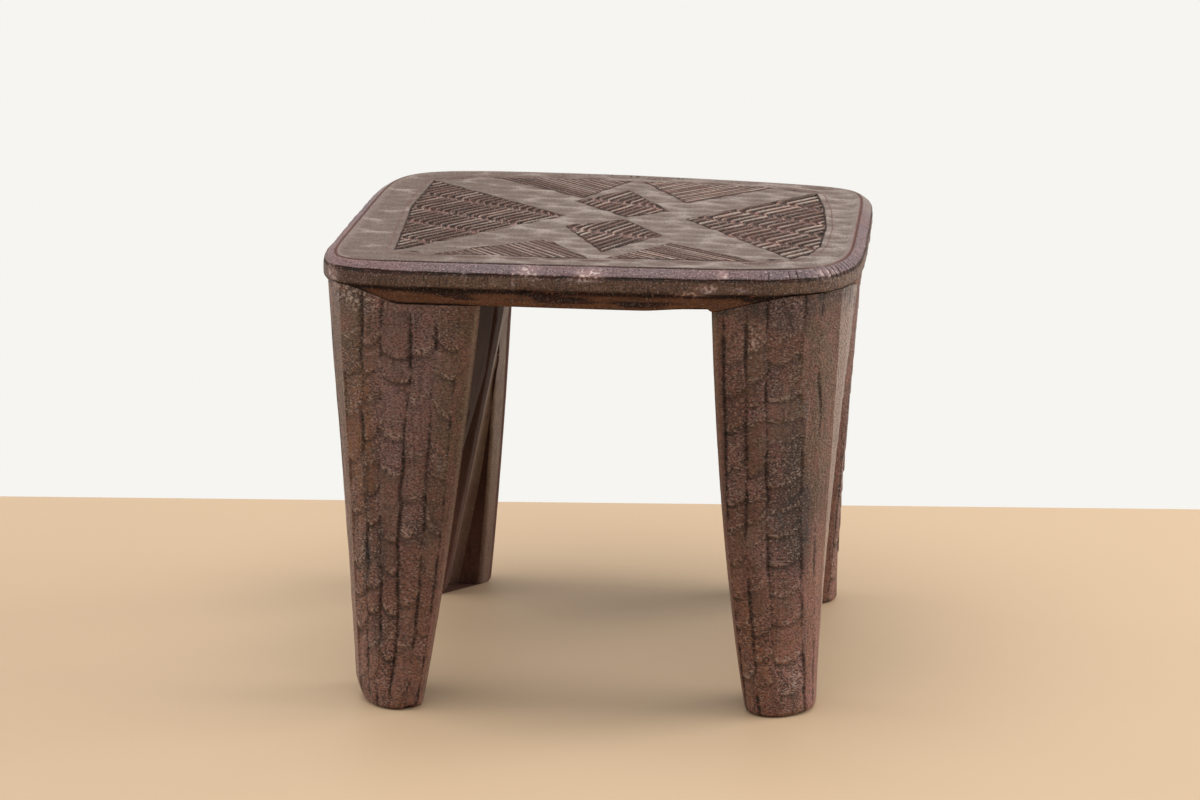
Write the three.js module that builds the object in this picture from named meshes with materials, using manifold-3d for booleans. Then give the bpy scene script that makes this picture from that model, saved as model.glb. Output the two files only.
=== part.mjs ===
// A low four-legged stool, hewn with an adze from one block of dense brown wood and carved on top.
// Millimetres, +Z up. The origin is on the floor under the middle of the seat, the front faces -Y
// and +X is to the right. The real stool is a single piece of wood. Here the seat and the legs part
// at the carved line under the rim, and a stub tenon on each leg, in a blind mortise in the seat,
// stands for the wood that runs through.
import * as THREE from "three";
import { mergeVertices } from "three/addons/utils/BufferGeometryUtils.js";
import Module from "manifold-3d";

// The whole stool
const seatWidth = 305;
const seatDepth = 273;
const stoolHeight = 264;

// The seat's edge, from the crest of its border outwards and down
const crestRise = 0.9; // the border's crest stands this far above the carved field
const bevelRun = 9;
const bevelDrop = 5.5;
const rimHeight = 9.5;
const slabThickness = 26;
const bellySetback = 2.5; // the thicker middle of the slab stands in from the rim
const bellyRounding = 3.5;
const rearPullIn = 15; // the rear edge runs in towards the right-hand corner
const cornerPower = { frontLeft: 9, frontRight: 5.2, rearLeft: 5.5, rearRight: 6.8 }; // higher is squarer

// The groove inside the crest
const grooveInset = 11.5;
const grooveWidth = 2.4;
const grooveDepth = 1.2;

// Where the smooth bands of the carved field cross, from the middle of the seat
const crossing = { x: 8, y: 3 };

// The gouged strokes of the sunk panels, which leave ridges standing between them. Angles are in
// degrees from +X. A panel's rows run at rowAngle and its strokes at strokeAngle. Where two rows join,
// the ridges turn to turnAngle over jointWidth. Crest and valley are the widths of a ridge's top and of
// the floor between two ridges, along the row.
const coarseStrokes = {
  rowAngle: -30,
  strokeAngle: 52,
  turnAngle: 106,
  jointWidth: 11,
  pitch: 6.6,
  crest: 2.1,
  valley: 2.3,
  depth: 2,
};
const diamondStrokes = {
  rowAngle: -22,
  strokeAngle: 63,
  turnAngle: 100,
  jointWidth: 7,
  pitch: 5.2,
  crest: 1.7,
  valley: 1.7,
  depth: 1.5,
};
const fineStrokes = { pitch: 4.3, crest: 1.5, valley: 1.1, depth: 0.9 };
const ridgeBelowField = 0.14; // share of a panel's depth by which its ridges lie below the field

// What all four legs share
const columnDip = 0.7; // depth of the valleys between the adze columns on the outer face
const edgeRadius = { top: 2, foot: 12 }; // rounding of the two edges where the outer face ends
const footWear = 2; // the edge round each foot is worn off this far in and up
const endArmAtFoot = 20; // thickness of the arm along the front or rear, where it stands on the floor
const endArmAtTop = 26; // and where the hollow between the arms runs out
const sideArmAtFoot = 18;
const hollowHeight = 185; // the hollow in the leg's inner corner runs out at this height

// The arched line where a leg meets the slab climbs to just under the rim over the outer corner
const archBelowRim = 0.6;

// The stub tenons
const tenonSide = 28;
const tenonLength = 12;
const mortiseLength = 13;
const clearance = 0.3;

// Each leg as the carver left it. The outer face wraps round the corner in one curve. Setbacks are from
// the seat's edge at the top, and leans are how far the face comes in on its way down, most of it near
// the top where flare is over 1. Width is along X and depth along Y. The arch climbs over archRun from
// archStart, both along the seat's diagonal, and archStart is from where the face's two sides would meet.
const legs = [
  {
    name: "leg_front_left",
    side: -1,
    end: -1,
    sideSetback: 4,
    endSetback: 4,
    sideLean: 13.5,
    endLean: -1,
    flare: 1.2,
    width: { top: 91, foot: 41 },
    depth: { top: 78, foot: 50 },
    cornerRadius: { top: 30, foot: 28 },
    archStart: 33,
    archRun: 19,
    columns: 11,
  },
  {
    name: "leg_front_right",
    side: 1,
    end: -1,
    sideSetback: 4,
    endSetback: 5,
    sideLean: 18,
    endLean: 11,
    flare: 1.55,
    width: { top: 78, foot: 40 },
    depth: { top: 76, foot: 43 },
    cornerRadius: { top: 54, foot: 22 },
    archStart: 58,
    archRun: 30,
    columns: 10,
  },
  {
    name: "leg_rear_left",
    side: -1,
    end: 1,
    sideSetback: 8,
    endSetback: 5.5,
    sideLean: 13,
    endLean: 8,
    flare: 1.2,
    width: { top: 72, foot: 43.5 },
    depth: { top: 78, foot: 43 },
    cornerRadius: { top: 48, foot: 28 },
    archStart: 40,
    archRun: 20,
    columns: 10,
  },
  {
    name: "leg_rear_right",
    side: 1,
    end: 1,
    sideSetback: 5,
    endSetback: 14,
    sideLean: 14,
    endLean: 1,
    flare: 1.4,
    width: { top: 72, foot: 43 },
    depth: { top: 72, foot: 33 },
    cornerRadius: { top: 42, foot: 19 },
    archStart: 40,
    archRun: 20,
    columns: 10,
  },
];

// Heights that follow from the sizes above
const fieldZ = stoolHeight - crestRise;
const edgeZ = stoolHeight - bevelDrop;
const rimLowerZ = edgeZ - rimHeight;
const undersideZ = stoolHeight - slabThickness;

// Fineness of the faceted solids
const outlinePoints = 96;
const legLevels = 9;

const wasm = await Module();
wasm.setup();

function toSolid(geometry) {
  const bare = geometry.clone();
  bare.deleteAttribute("normal");
  bare.deleteAttribute("uv");
  const merged = mergeVertices(bare, 1e-4);
  return new wasm.Manifold(
    new wasm.Mesh({
      numProp: 3,
      vertProperties: new Float32Array(merged.attributes.position.array),
      triVerts: new Uint32Array(merged.index.array),
    }),
  );
}

function toMesh(solid, name, colour) {
  const { vertProperties, triVerts } = solid.getMesh();
  const geometry = new THREE.BufferGeometry();
  geometry.setAttribute("position", new THREE.BufferAttribute(vertProperties, 3));
  geometry.setIndex(new THREE.BufferAttribute(triVerts, 1));
  geometry.computeVertexNormals();
  const material = new THREE.MeshStandardMaterial({ color: colour, roughness: 0.55, metalness: 0 });
  const mesh = new THREE.Mesh(geometry, material);
  mesh.name = name;
  return mesh;
}

// A closed skin over rings of points of one count, each counter-clockwise from above, first to last
// going up and round the outside, with a flat cap over the first and the last.
function loft(rings) {
  const count = rings[0].points.length;
  const positions = rings.flatMap(({ points, z }) => points.flatMap((p) => [p.x, p.y, z]));
  const index = [];
  for (let level = 0; level + 1 < rings.length; level++) {
    for (let i = 0; i < count; i++) {
      const a = level * count + i;
      const b = level * count + ((i + 1) % count);
      index.push(a, b, b + count);
      index.push(a, b + count, a + count);
    }
  }
  const top = (rings.length - 1) * count;
  for (const [a, b, c] of THREE.ShapeUtils.triangulateShape(rings[0].points, [])) {
    index.push(c, b, a);
  }
  for (const [a, b, c] of THREE.ShapeUtils.triangulateShape(rings.at(-1).points, [])) {
    index.push(top + a, top + b, top + c);
  }
  const geometry = new THREE.BufferGeometry();
  geometry.setAttribute("position", new THREE.Float32BufferAttribute(positions, 3));
  geometry.setIndex(index);
  return geometry;
}

// The seat's outline from above: a superellipse whose corners differ a little, with a rear edge that
// isn't quite parallel to the front. Its points lie close together round the corners.
function seatOutline() {
  const points = [];
  for (let i = 0; i < outlinePoints; i++) {
    const angle = ((i + 0.5) / outlinePoints) * 2 * Math.PI;
    const c = Math.cos(angle);
    const s = Math.sin(angle);
    const power = cornerPower[(s < 0 ? "front" : "rear") + (c < 0 ? "Left" : "Right")];
    const x = (Math.sign(c) * Math.abs(c) ** (2 / power) * seatWidth) / 2;
    const y = (Math.sign(s) * Math.abs(s) ** (2 / power) * seatDepth) / 2;
    const point = new THREE.Vector2(x, y);
    if (point.y > 0) {
      const share = (0.5 + point.x / seatWidth) ** 2;
      point.y -= rearPullIn * share * ((2 * point.y) / seatDepth) ** 2;
    }
    points.push(point);
  }
  const rearmost = Math.max(...points.map((p) => p.y));
  for (const p of points) {
    if (p.y > 0) p.y *= seatDepth / 2 / rearmost;
  }
  return points;
}

const outline = seatOutline();

function outlineInset(inset) {
  return outline.map((p, i) => {
    const before = outline.at(i - 1);
    const after = outline[(i + 1) % outline.length];
    const along = after.clone().sub(before).normalize();
    return new THREE.Vector2(p.x - along.y * inset, p.y + along.x * inset);
  });
}

function box(sizeX, sizeY, zLow, zHigh, x, y) {
  const geometry = new THREE.BoxGeometry(sizeX, sizeY, zHigh - zLow);
  geometry.translate(x, y, (zLow + zHigh) / 2);
  return geometry;
}

// The space over a leg's outer corner where the arched line climbs from the slab's underside to the
// rim: a ramp across the seat's diagonal, level again past its end.
function archRamp(leg, gap) {
  const rise = rimLowerZ - archBelowRim - undersideZ;
  const beyond = 60;
  const ramp = new THREE.Shape([
    new THREE.Vector2(gap, -rise),
    new THREE.Vector2(gap, 0),
    new THREE.Vector2(leg.archRun + gap, rise - gap),
    new THREE.Vector2(leg.archRun + beyond, rise - gap),
    new THREE.Vector2(leg.archRun + beyond, -rise),
  ]);
  const across = seatWidth / 2;
  const geometry = new THREE.ExtrudeGeometry(ramp, { depth: across, bevelEnabled: false });
  geometry.translate(-leg.archStart, 0, -across / 2);
  geometry.rotateX(Math.PI / 2);
  geometry.rotateZ(Math.atan2(leg.end, leg.side));
  const corner = legCorner(leg, undersideZ);
  geometry.translate(corner.x, corner.y, undersideZ);
  return toSolid(geometry);
}

// Where the two sides of a leg's outer face would meet, at one height
function legCorner(leg, z) {
  const share = 1 - Math.max(z / undersideZ, 0) ** leg.flare;
  return new THREE.Vector2(
    leg.side * (seatWidth / 2 - leg.sideSetback - leg.sideLean * share),
    leg.end * (seatDepth / 2 - leg.endSetback - leg.endLean * share),
  );
}

// A leg's tapers run from its foot on the floor to its top at the slab's underside
function tapered(size, z) {
  const share = z / undersideZ;
  const fullness = 0.1; // the inner edges bulge a little on the way down
  return size.foot + (size.top - size.foot) * (share + fullness * share * (1 - share));
}

// Points given inwards from a leg's outer corner, turned into the seat's own axes, counter-clockwise
function placeOnLeg(leg, z, inward) {
  const corner = legCorner(leg, z);
  const points = inward.map(([u, v]) => new THREE.Vector2(corner.x - leg.side * u, corner.y - leg.end * v));
  return THREE.ShapeUtils.area(points) < 0 ? points.reverse() : points;
}

// A leg's outer face seen from above, from its edge on the seat's end, round the outer corner and on to
// its edge on the seat's side. Distances are inwards from where its two sides would meet.
function outerFace(leg, z) {
  const width = tapered(leg.width, z);
  const depth = tapered(leg.depth, z);
  const corner = tapered(leg.cornerRadius, z);
  const edge = tapered(edgeRadius, z);
  const face = new THREE.Path();
  face.moveTo(width, edge);
  face.absarc(width - edge, edge, edge, 0, -Math.PI / 2, true);
  face.lineTo(corner, 0);
  face.absarc(corner, corner, corner, -Math.PI / 2, -Math.PI, true);
  face.lineTo(0, depth - edge);
  face.absarc(edge, depth - edge, edge, Math.PI, Math.PI / 2, true);
  return face;
}

// The leg's outline at one height: shallow ribs with a valley between each two, one after another
// round the outer face, closed by the inner corner
function legRing(leg, z, wear) {
  const face = outerFace(leg, z);
  const steps = 2 * leg.columns;
  const inward = [];
  for (let i = 0; i <= steps; i++) {
    const at = face.getPointAt(i / steps);
    const along = face.getTangentAt(i / steps);
    const valley = i % 2 === 0 && i > 0 && i < steps ? columnDip : 0;
    inward.push([at.x + along.y * (wear + valley), at.y - along.x * (wear + valley)]);
  }
  inward.push([tapered(leg.width, z) - wear, tapered(leg.depth, z) - wear]);
  return { z, points: placeOnLeg(leg, z, inward) };
}

function hollowRing(leg, z) {
  const share = z / hollowHeight;
  const sideArm = sideArmAtFoot + (tapered(leg.width, hollowHeight) - sideArmAtFoot) * share;
  const endArm = endArmAtFoot + (endArmAtTop - endArmAtFoot) * share;
  const past = seatWidth / 2;
  const corners = [
    [sideArm, endArm],
    [past, endArm],
    [past, past],
    [sideArm, past],
  ];
  return { z, points: placeOnLeg(leg, z, corners) };
}

// The middle of a leg's top, which the tenon stands on
function tenonCentre(leg) {
  const corner = legCorner(leg, undersideZ);
  return new THREE.Vector2(
    corner.x - (leg.side * leg.width.top) / 2,
    corner.y - (leg.end * leg.depth.top) / 2,
  );
}

// A leg: a tapering block with its inner corner hewn out, so that an arm runs along each outer face
function makeLeg(leg) {
  const levels = [legRing(leg, 0, footWear)];
  for (let i = 0; i < legLevels; i++) {
    levels.push(legRing(leg, footWear + ((undersideZ - footWear) * i) / (legLevels - 1), 0));
  }
  levels.push(legRing(leg, rimLowerZ, 0));
  const hollow = toSolid(loft([hollowRing(leg, -1), hollowRing(leg, hollowHeight * 1.1)]));
  const slabSpace = toSolid(box(2 * seatWidth, 2 * seatDepth, undersideZ, stoolHeight, 0, 0));
  const centre = tenonCentre(leg);
  const tenonTop = undersideZ + tenonLength;
  const tenon = toSolid(box(tenonSide, tenonSide, undersideZ - tenonLength, tenonTop, centre.x, centre.y));
  return toSolid(loft(levels))
    .subtract(hollow)
    .subtract(slabSpace.subtract(archRamp(leg, clearance)))
    .add(tenon);
}

// Distances in from the seat's four sides, for the carved field
const left = (distance) => -seatWidth / 2 + distance;
const right = (distance) => seatWidth / 2 - distance;
const front = (distance) => -seatDepth / 2 + distance;
const rear = (distance) => seatDepth / 2 - distance;

// A sunk panel, from its corners as x, y, x, y. The joints are where its rows meet, as distances from
// the middle of the seat across the rows.
function sunkPanel(corners, strokes, joints = []) {
  const points = [];
  for (let i = 0; i < corners.length; i += 2) {
    points.push(new THREE.Vector2(corners[i], corners[i + 1]));
  }
  return { points, joints, ...strokes };
}

// A panel of straight strokes, whose rows lie square to them
function straight(strokeAngle, pitch = fineStrokes.pitch) {
  return { ...fineStrokes, pitch, strokeAngle, rowAngle: strokeAngle - 90 };
}

// The sunk panels: a broad triangle at each side, a diamond in front of the crossing and one behind,
// and four flat triangles along the front and rear. Smooth bands are left between them.
function sunkPanels() {
  const { x, y } = crossing;
  return [
    sunkPanel(
      [left(32.5), rear(37), left(31), y + 20, left(41), front(38), x - 34, y + 3],
      coarseStrokes,
      [-110, -73, -42, -9],
    ),
    sunkPanel(
      [x + 36, y + 3, right(36), front(46), right(26.5), y - 12, right(35), rear(42)],
      coarseStrokes,
      [7, 39, 67, 102],
    ),
    sunkPanel([x - 5, y + 81, x - 34, y + 44, x + 1, y + 2, x + 25, y + 23], diamondStrokes, [44]),
    sunkPanel([x + 1, y - 3, x - 32, y - 25, x - 3, y - 91, x + 27, y - 43], diamondStrokes, [-34]),
    sunkPanel([left(66), rear(24), x - 30, y + 53, x - 5, rear(26)], straight(134)),
    sunkPanel([x, rear(26), x + 33, y + 47, right(62), rear(30)], straight(48)),
    sunkPanel([left(62), front(32), x - 8, front(30), x - 38, y - 61], straight(130, 4.8)),
    sunkPanel([x + 1, front(33), right(58), front(34), x + 34, y - 62], straight(141)),
  ];
}

// How far a ridge has moved along its row, at a place across the rows
function ridgeCourse(panel, place) {
  const slopeOf = (angle) => Math.tan(THREE.MathUtils.degToRad(panel.rowAngle + 90 - angle));
  const slope = slopeOf(panel.strokeAngle);
  let course = slope * place;
  for (const joint of panel.joints) {
    const turned = THREE.MathUtils.clamp(place - joint + panel.jointWidth / 2, 0, panel.jointWidth);
    course += (slopeOf(panel.turnAngle) - slope) * turned;
  }
  return course;
}

// The ridges left standing in a panel: bars with sloping sides, each bent where its rows join
function panelRidges(panel) {
  const rowAngle = THREE.MathUtils.degToRad(panel.rowAngle);
  const row = new THREE.Vector2(Math.cos(rowAngle), Math.sin(rowAngle));
  const across = new THREE.Vector2(-row.y, row.x);
  const places = panel.points.map((p) => p.dot(across));
  const spread = panel.points.map((p) => p.dot(row));
  const first = Math.min(...places) - 3;
  const last = Math.max(...places) + 3;
  const bends = panel.joints.flatMap((joint) => [joint - panel.jointWidth / 2, joint + panel.jointWidth / 2]);
  const stations = [first, ...bends.filter((place) => place > first && place < last), last];
  const courses = stations.map((place) => ridgeCourse(panel, place));

  const rise = panel.depth * (1 - ridgeBelowField);
  const footing = 0.4; // the bars start this far below the floor that they stand on
  const topHalf = panel.crest / 2;
  const footHalf = (panel.pitch - panel.valley) / 2;
  const lowHalf = footHalf + ((footHalf - topHalf) * footing) / rise;
  const topZ = fieldZ - panel.depth * ridgeBelowField;
  const lowZ = fieldZ - panel.depth - footing;
  const section = [[-lowHalf, lowZ], [lowHalf, lowZ], [topHalf, topZ], [-topHalf, topZ]];

  const positions = [];
  const index = [];
  const lowest = Math.floor((Math.min(...spread) - Math.max(...courses)) / panel.pitch);
  const highest = Math.ceil((Math.max(...spread) - Math.min(...courses)) / panel.pitch);
  for (let ridge = lowest; ridge <= highest; ridge++) {
    const start = positions.length / 3;
    stations.forEach((place, i) => {
      for (const [offset, z] of section) {
        const along = ridge * panel.pitch + courses[i] + offset;
        positions.push(row.x * along + across.x * place, row.y * along + across.y * place, z);
      }
    });
    for (let i = 0; i + 1 < stations.length; i++) {
      for (let side = 0; side < 4; side++) {
        const a = start + 4 * i + side;
        const b = start + 4 * i + ((side + 1) % 4);
        index.push(a, b + 4, b, a, a + 4, b + 4);
      }
    }
    const end = start + 4 * (stations.length - 1);
    index.push(start, start + 1, start + 2, start, start + 2, start + 3);
    index.push(end, end + 2, end + 1, end, end + 3, end + 2);
  }
  const geometry = new THREE.BufferGeometry();
  geometry.setAttribute("position", new THREE.Float32BufferAttribute(positions, 3));
  geometry.setIndex(index);
  return toSolid(geometry);
}

function panelCutter(panel) {
  const depth = panel.depth + crestRise + 1;
  const geometry = new THREE.ExtrudeGeometry(new THREE.Shape(panel.points), { depth, bevelEnabled: false });
  geometry.translate(0, 0, fieldZ - panel.depth);
  return toSolid(geometry).subtract(panelRidges(panel));
}

// The seat: a slab with a bevelled rim round a grooved border, and a thicker middle underneath
function makeSeat() {
  const section = [
    { inset: bellySetback + bellyRounding, z: undersideZ },
    { inset: bellySetback + bellyRounding * 0.3, z: undersideZ + bellyRounding * 0.3 },
    { inset: bellySetback, z: undersideZ + bellyRounding },
    { inset: bellySetback, z: rimLowerZ },
    { inset: 0, z: rimLowerZ },
    { inset: 0, z: edgeZ },
    { inset: bevelRun * 0.45, z: stoolHeight - bevelDrop * 0.42 },
    { inset: bevelRun, z: stoolHeight },
    { inset: grooveInset, z: fieldZ },
    { inset: grooveInset + grooveWidth / 2, z: fieldZ - grooveDepth },
    { inset: grooveInset + grooveWidth, z: fieldZ },
  ];
  let seat = toSolid(loft(section.map(({ inset, z }) => ({ z, points: outlineInset(inset) }))));
  for (const panel of sunkPanels()) {
    seat = seat.subtract(panelCutter(panel));
  }
  for (const leg of legs) {
    const centre = tenonCentre(leg);
    const side = tenonSide + 2 * clearance;
    const mortiseTop = undersideZ + mortiseLength;
    const mortise = toSolid(box(side, side, undersideZ - 1, mortiseTop, centre.x, centre.y));
    seat = seat.subtract(archRamp(leg, 0)).subtract(mortise);
  }
  return seat;
}

const stool = new THREE.Group();
stool.add(toMesh(makeSeat(), "seat_slab", 0x6b5449));
for (const leg of legs) {
  stool.add(toMesh(makeLeg(leg), leg.name, 0x5c4439));
}

export default stool;
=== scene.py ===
import math

import bpy
import numpy as np
from mathutils import Matrix, Vector
from mathutils.geometry import delaunay_2d_cdt


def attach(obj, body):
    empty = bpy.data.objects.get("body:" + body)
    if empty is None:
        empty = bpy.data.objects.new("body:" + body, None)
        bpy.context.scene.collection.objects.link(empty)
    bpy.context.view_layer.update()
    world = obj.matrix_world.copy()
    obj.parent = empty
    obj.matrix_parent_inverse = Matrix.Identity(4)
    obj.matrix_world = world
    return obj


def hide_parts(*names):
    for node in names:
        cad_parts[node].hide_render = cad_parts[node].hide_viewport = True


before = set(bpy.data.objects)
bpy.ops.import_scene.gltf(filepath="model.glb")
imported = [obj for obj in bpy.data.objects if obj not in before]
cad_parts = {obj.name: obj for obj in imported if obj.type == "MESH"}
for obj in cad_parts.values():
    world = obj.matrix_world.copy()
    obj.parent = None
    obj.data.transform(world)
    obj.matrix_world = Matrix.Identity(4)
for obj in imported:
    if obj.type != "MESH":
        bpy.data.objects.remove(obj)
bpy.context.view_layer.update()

METRES = 0.001

# The seat, as the solids have it
SEAT_WIDTH = 305
SEAT_DEPTH = 273
STOOL_HEIGHT = 264
FIELD_Z = 263.1
RIM_LOWER_Z = 249
UNDERSIDE_Z = 238
REAR_PULL_IN = 15
CORNER_POWER = {"front_left": 9, "front_right": 5.2, "rear_left": 5.5, "rear_right": 6.8}
BELLY_TOP_Z = RIM_LOWER_Z - 0.4
ARCH_TOP_Z = RIM_LOWER_Z - 0.6

# The legs
HOLLOW_HEIGHT = 185
SIDE_ARM_AT_FOOT = 18
END_ARM_AT_FOOT = 20
END_ARM_AT_TOP = 26
EDGE_RADIUS_TOP = 2
EDGE_RADIUS_FOOT = 12

# Side is -1 on the left and end is -1 in front. A setback is how far the leg's corner stands in from the
# seat's edge at the top, and a lean is how much further in it stands at the foot. Pairs are sizes at top
# and foot. The arch's start and run lie along the seat's diagonal. The adze left the outer face in
# upright columns, and cuts are where these meet, as shares of the way from the face's edge on the seat's
# end, round the outer corner, to its edge on the seat's side. They drift round on the way down. At a
# crisp cut two flat facets meet in an edge, and at the others two low ribs meet in a narrow valley.
# Smooth columns have no rows of bites, and pale ones carry a painted highlight. Shares of the inside that
# are lit carry painted light, and the rest of the inside carries painted shade. Foot chips are a column,
# the columns that they reach, their height and their depth. Stains are a kind, a column, a height, the
# columns and millimetres that they reach and an amount.
LEGS = [
    {
        "name": "leg_front_left",
        "side": -1,
        "end": -1,
        "side_setback": 4,
        "end_setback": 4,
        "side_lean": 13.5,
        "end_lean": -1,
        "flare": 1.2,
        "width": (91, 41),
        "depth": (78, 50),
        "corner_radius": (30, 28),
        "arch_start": 33,
        "arch_run": 19,
        "cuts": (0, 0.077, 0.158, 0.26, 0.349, 0.432, 0.528, 0.6, 0.69, 0.775, 0.87, 1),
        "drift": 0,
        "crisp": (6,),
        "smooth": (0, 6, 7, 8),
        "pale": {6: 0.25, 7: 0.25, 8: 0.15},
        "row_height": 24,
        "inner_slant": 2,
        "lit": (),
        "foot_chips": ((1.5, 0.5, 6, 5), (7, 3.2, 14, 4)),
        "seed": 3,
        "stains": (
            ("rose", 4.1, 231, 0.25, 5, 1.0),
            ("mauve", 3.0, 198, 1.3, 42, 0.9),
            ("mauve", 3.4, 125, 0.8, 38, 0.8),
            ("mauve", 3.6, 30, 1.2, 26, 0.6),
            ("olive", 5.5, 205, 0.6, 36, 0.9),
            ("olive", 0.8, 190, 0.9, 55, 0.8),
            ("orange", 5.2, 150, 0.7, 42, 0.9),
            ("orange", 5.2, 78, 0.5, 18, 1.0),
            ("dark", 1.8, 108, 0.5, 8, 0.6),
            ("dark", 5.0, 86, 0.2, 14, 1.0),
            ("dark", 4.0, 92, 0.25, 18, 0.8),
            ("dark", 4.9, 125, 0.15, 40, 0.6),
            ("dark", 4.2, 48, 0.5, 10, 0.5),
            ("dust", 5.2, 236, 1.1, 6, 0.9),
        ),
    },
    {
        "name": "leg_front_right",
        "side": 1,
        "end": -1,
        "side_setback": 4,
        "end_setback": 5,
        "side_lean": 18,
        "end_lean": 11,
        "flare": 1.55,
        "width": (78, 40),
        "depth": (76, 43),
        "corner_radius": (54, 22),
        "arch_start": 58,
        "arch_run": 30,
        "cuts": (0, 0.061, 0.156, 0.248, 0.404, 0.5, 0.619, 0.7, 0.79, 0.89, 1),
        "drift": 0.13,
        "crisp": (6, 7),
        "smooth": (0, 4, 5, 6, 7),
        "pale": {6: 0.5, 7: 0.45, 8: 0.3},
        "row_height": 15,
        "inner_slant": 2,
        "lit": (),
        "foot_chips": ((1.1, 0.5, 4, 2), (4, 1.5, 5, 1.5)),
        "seed": 8,
        "stains": (
            ("olive", 4.8, 178, 1.0, 55, 0.9),
            ("mauve", 3.5, 233, 0.6, 9, 1.0),
            ("mauve", 2.8, 97, 0.5, 10, 1.0),
            ("mauve", 3.2, 180, 0.7, 25, 0.6),
            ("rose", 3.75, 233, 0.35, 5, 1.0),
            ("rose", 3.9, 85, 0.7, 24, 0.7),
            ("rose", 4.5, 30, 1.2, 24, 0.7),
            ("dust", 2.3, 220, 0.35, 8, 1.0),
            ("dust", 3.6, 22, 0.2, 6, 0.8),
            ("dust", 1.6, 24, 0.2, 5, 0.8),
            ("dark", 3.5, 228, 0.35, 5, 0.8),
            ("dark", 3.95, 115, 0.55, 22, 1.0),
            ("dark", 3.75, 150, 0.2, 18, 0.9),
            ("scuff", 3.15, 120, 0.22, 4, 1.0),
            ("scuff", 4.05, 187, 0.25, 9, 0.5),
            ("orange", 1.7, 28, 0.8, 28, 0.9),
        ),
    },
    {
        "name": "leg_rear_left",
        "side": -1,
        "end": 1,
        "side_setback": 8,
        "end_setback": 5.5,
        "side_lean": 13,
        "end_lean": 8,
        "flare": 1.2,
        "width": (72, 43.5),
        "depth": (78, 43),
        "corner_radius": (48, 28),
        "arch_start": 40,
        "arch_run": 20,
        "cuts": (0, 0.09, 0.19, 0.3, 0.41, 0.5, 0.62, 0.7, 0.81, 0.9, 1),
        "drift": 0,
        "crisp": (6,),
        "smooth": (0, 6),
        "pale": {},
        "row_height": 22,
        "inner_slant": 5,
        "lit": ((0.37, 0.56), (0.8, 1.0)),
        "foot_chips": (),
        "seed": 14,
        "stains": (
            ("dark", 4.3, 150, 0.9, 30, 0.6),
            ("orange", 2, 60, 1.2, 30, 0.6),
            ("mauve", 7, 150, 2, 60, 0.7),
        ),
    },
    {
        "name": "leg_rear_right",
        "side": 1,
        "end": 1,
        "side_setback": 5,
        "end_setback": 14,
        "side_lean": 14,
        "end_lean": 1,
        "flare": 1.4,
        "width": (72, 43),
        "depth": (72, 33),
        "corner_radius": (42, 19),
        "arch_start": 40,
        "arch_run": 20,
        "cuts": (0, 0.11, 0.2, 0.29, 0.4, 0.52, 0.6, 0.71, 0.79, 0.91, 1),
        "drift": 0,
        "crisp": (5,),
        "smooth": (4, 9),
        "pale": {},
        "row_height": 20,
        "inner_slant": 3,
        "lit": ((0.8, 1.0),),
        "foot_chips": (),
        "seed": 21,
        "stains": (
            ("dark", 6.1, 90, 0.9, 30, 0.6),
            ("orange", 3, 170, 1.2, 30, 0.6),
            ("mauve", 7, 150, 2, 60, 0.7),
        ),
    },
]


def linear(hex_colour):
    """An sRGB hex colour as the linear colour a shader takes."""
    parts = [int(hex_colour[i : i + 2], 16) / 255 for i in (1, 3, 5)]
    return [c / 12.92 if c <= 0.04045 else ((c + 0.055) / 1.055) ** 2.4 for c in parts] + [1.0]


SWELLS = 32  # each way in space, after which they repeat


def wander(points, size, seed):
    """Smooth random heights from -1 to 1 at each point, with swells about size millimetres apart.

    Each use has a seed of its own, so that the swells of different things don't match.
    """
    table = np.random.default_rng(seed).uniform(-1, 1, (SWELLS, SWELLS, SWELLS))
    cells = np.asarray(points, float) / size
    low = np.floor(cells).astype(int)
    part = cells - low
    part = part * part * (3 - 2 * part)
    heights = np.zeros(len(cells))
    for corner in np.ndindex(2, 2, 2):
        weight = np.prod(np.where(corner, part, 1 - part), axis=1)
        at = (low + corner) % SWELLS
        heights += weight * table[at[:, 0], at[:, 1], at[:, 2]]
    return heights


def flat_wander(x, y, size, seed):
    return wander(np.column_stack([x, y, np.full(len(x), 0.5 * size)]), size, seed)


def scallops(across, along, spacing, seed):
    """0 in the middle of each shallow gouge cut and about 1 on the ridges where cuts meet."""
    rng = np.random.default_rng(seed)
    nearest = np.full(len(across), 9.0)
    for row, b in enumerate(np.arange(along.min() - spacing, along.max() + spacing, spacing)):
        for a in np.arange(across.min() - spacing, across.max() + spacing, spacing):
            shift = rng.uniform(-0.3, 0.3, 2) * spacing
            centre_a = a + shift[0] + 0.5 * spacing * (row % 2)
            centre_b = b + shift[1]
            reach = ((across - centre_a) ** 2 + (along - centre_b) ** 2) / spacing**2
            nearest = np.minimum(nearest, reach)
    return np.minimum(nearest * 2, 1.4)


def bump_at(distance, width):
    """1 where the distance is 0, falling away over about the width."""
    return np.exp(-((distance / width) ** 2))


def smooth_step(value, low, high):
    share = np.clip((value - low) / (high - low), 0, 1)
    return share * share * (3 - 2 * share)


def closed_loop(count, start=0):
    """The edges of a closed loop of points."""
    return [(start + i, start + (i + 1) % count) for i in range(count)]


def walls(levels, count):
    """The faces between rings of points that lie one above another."""
    faces = []
    for level in range(levels - 1):
        for i, j in closed_loop(count, level * count):
            faces.append((i, j, count + j, count + i))
    return faces


def filled(flat, edges):
    """Triangles between the points, inside the outer loop of edges."""
    found = delaunay_2d_cdt([Vector(p) for p in flat.tolist()], edges, [], 1, 1e-5, True)
    places, _, faces, origins, _, _ = found
    if len(places) != len(flat):
        raise ValueError(f"the cuts cross: {len(flat)} points became {len(places)}")
    order = [where[0] for where in origins]
    return [[order[i] for i in face] for face in faces]


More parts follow.
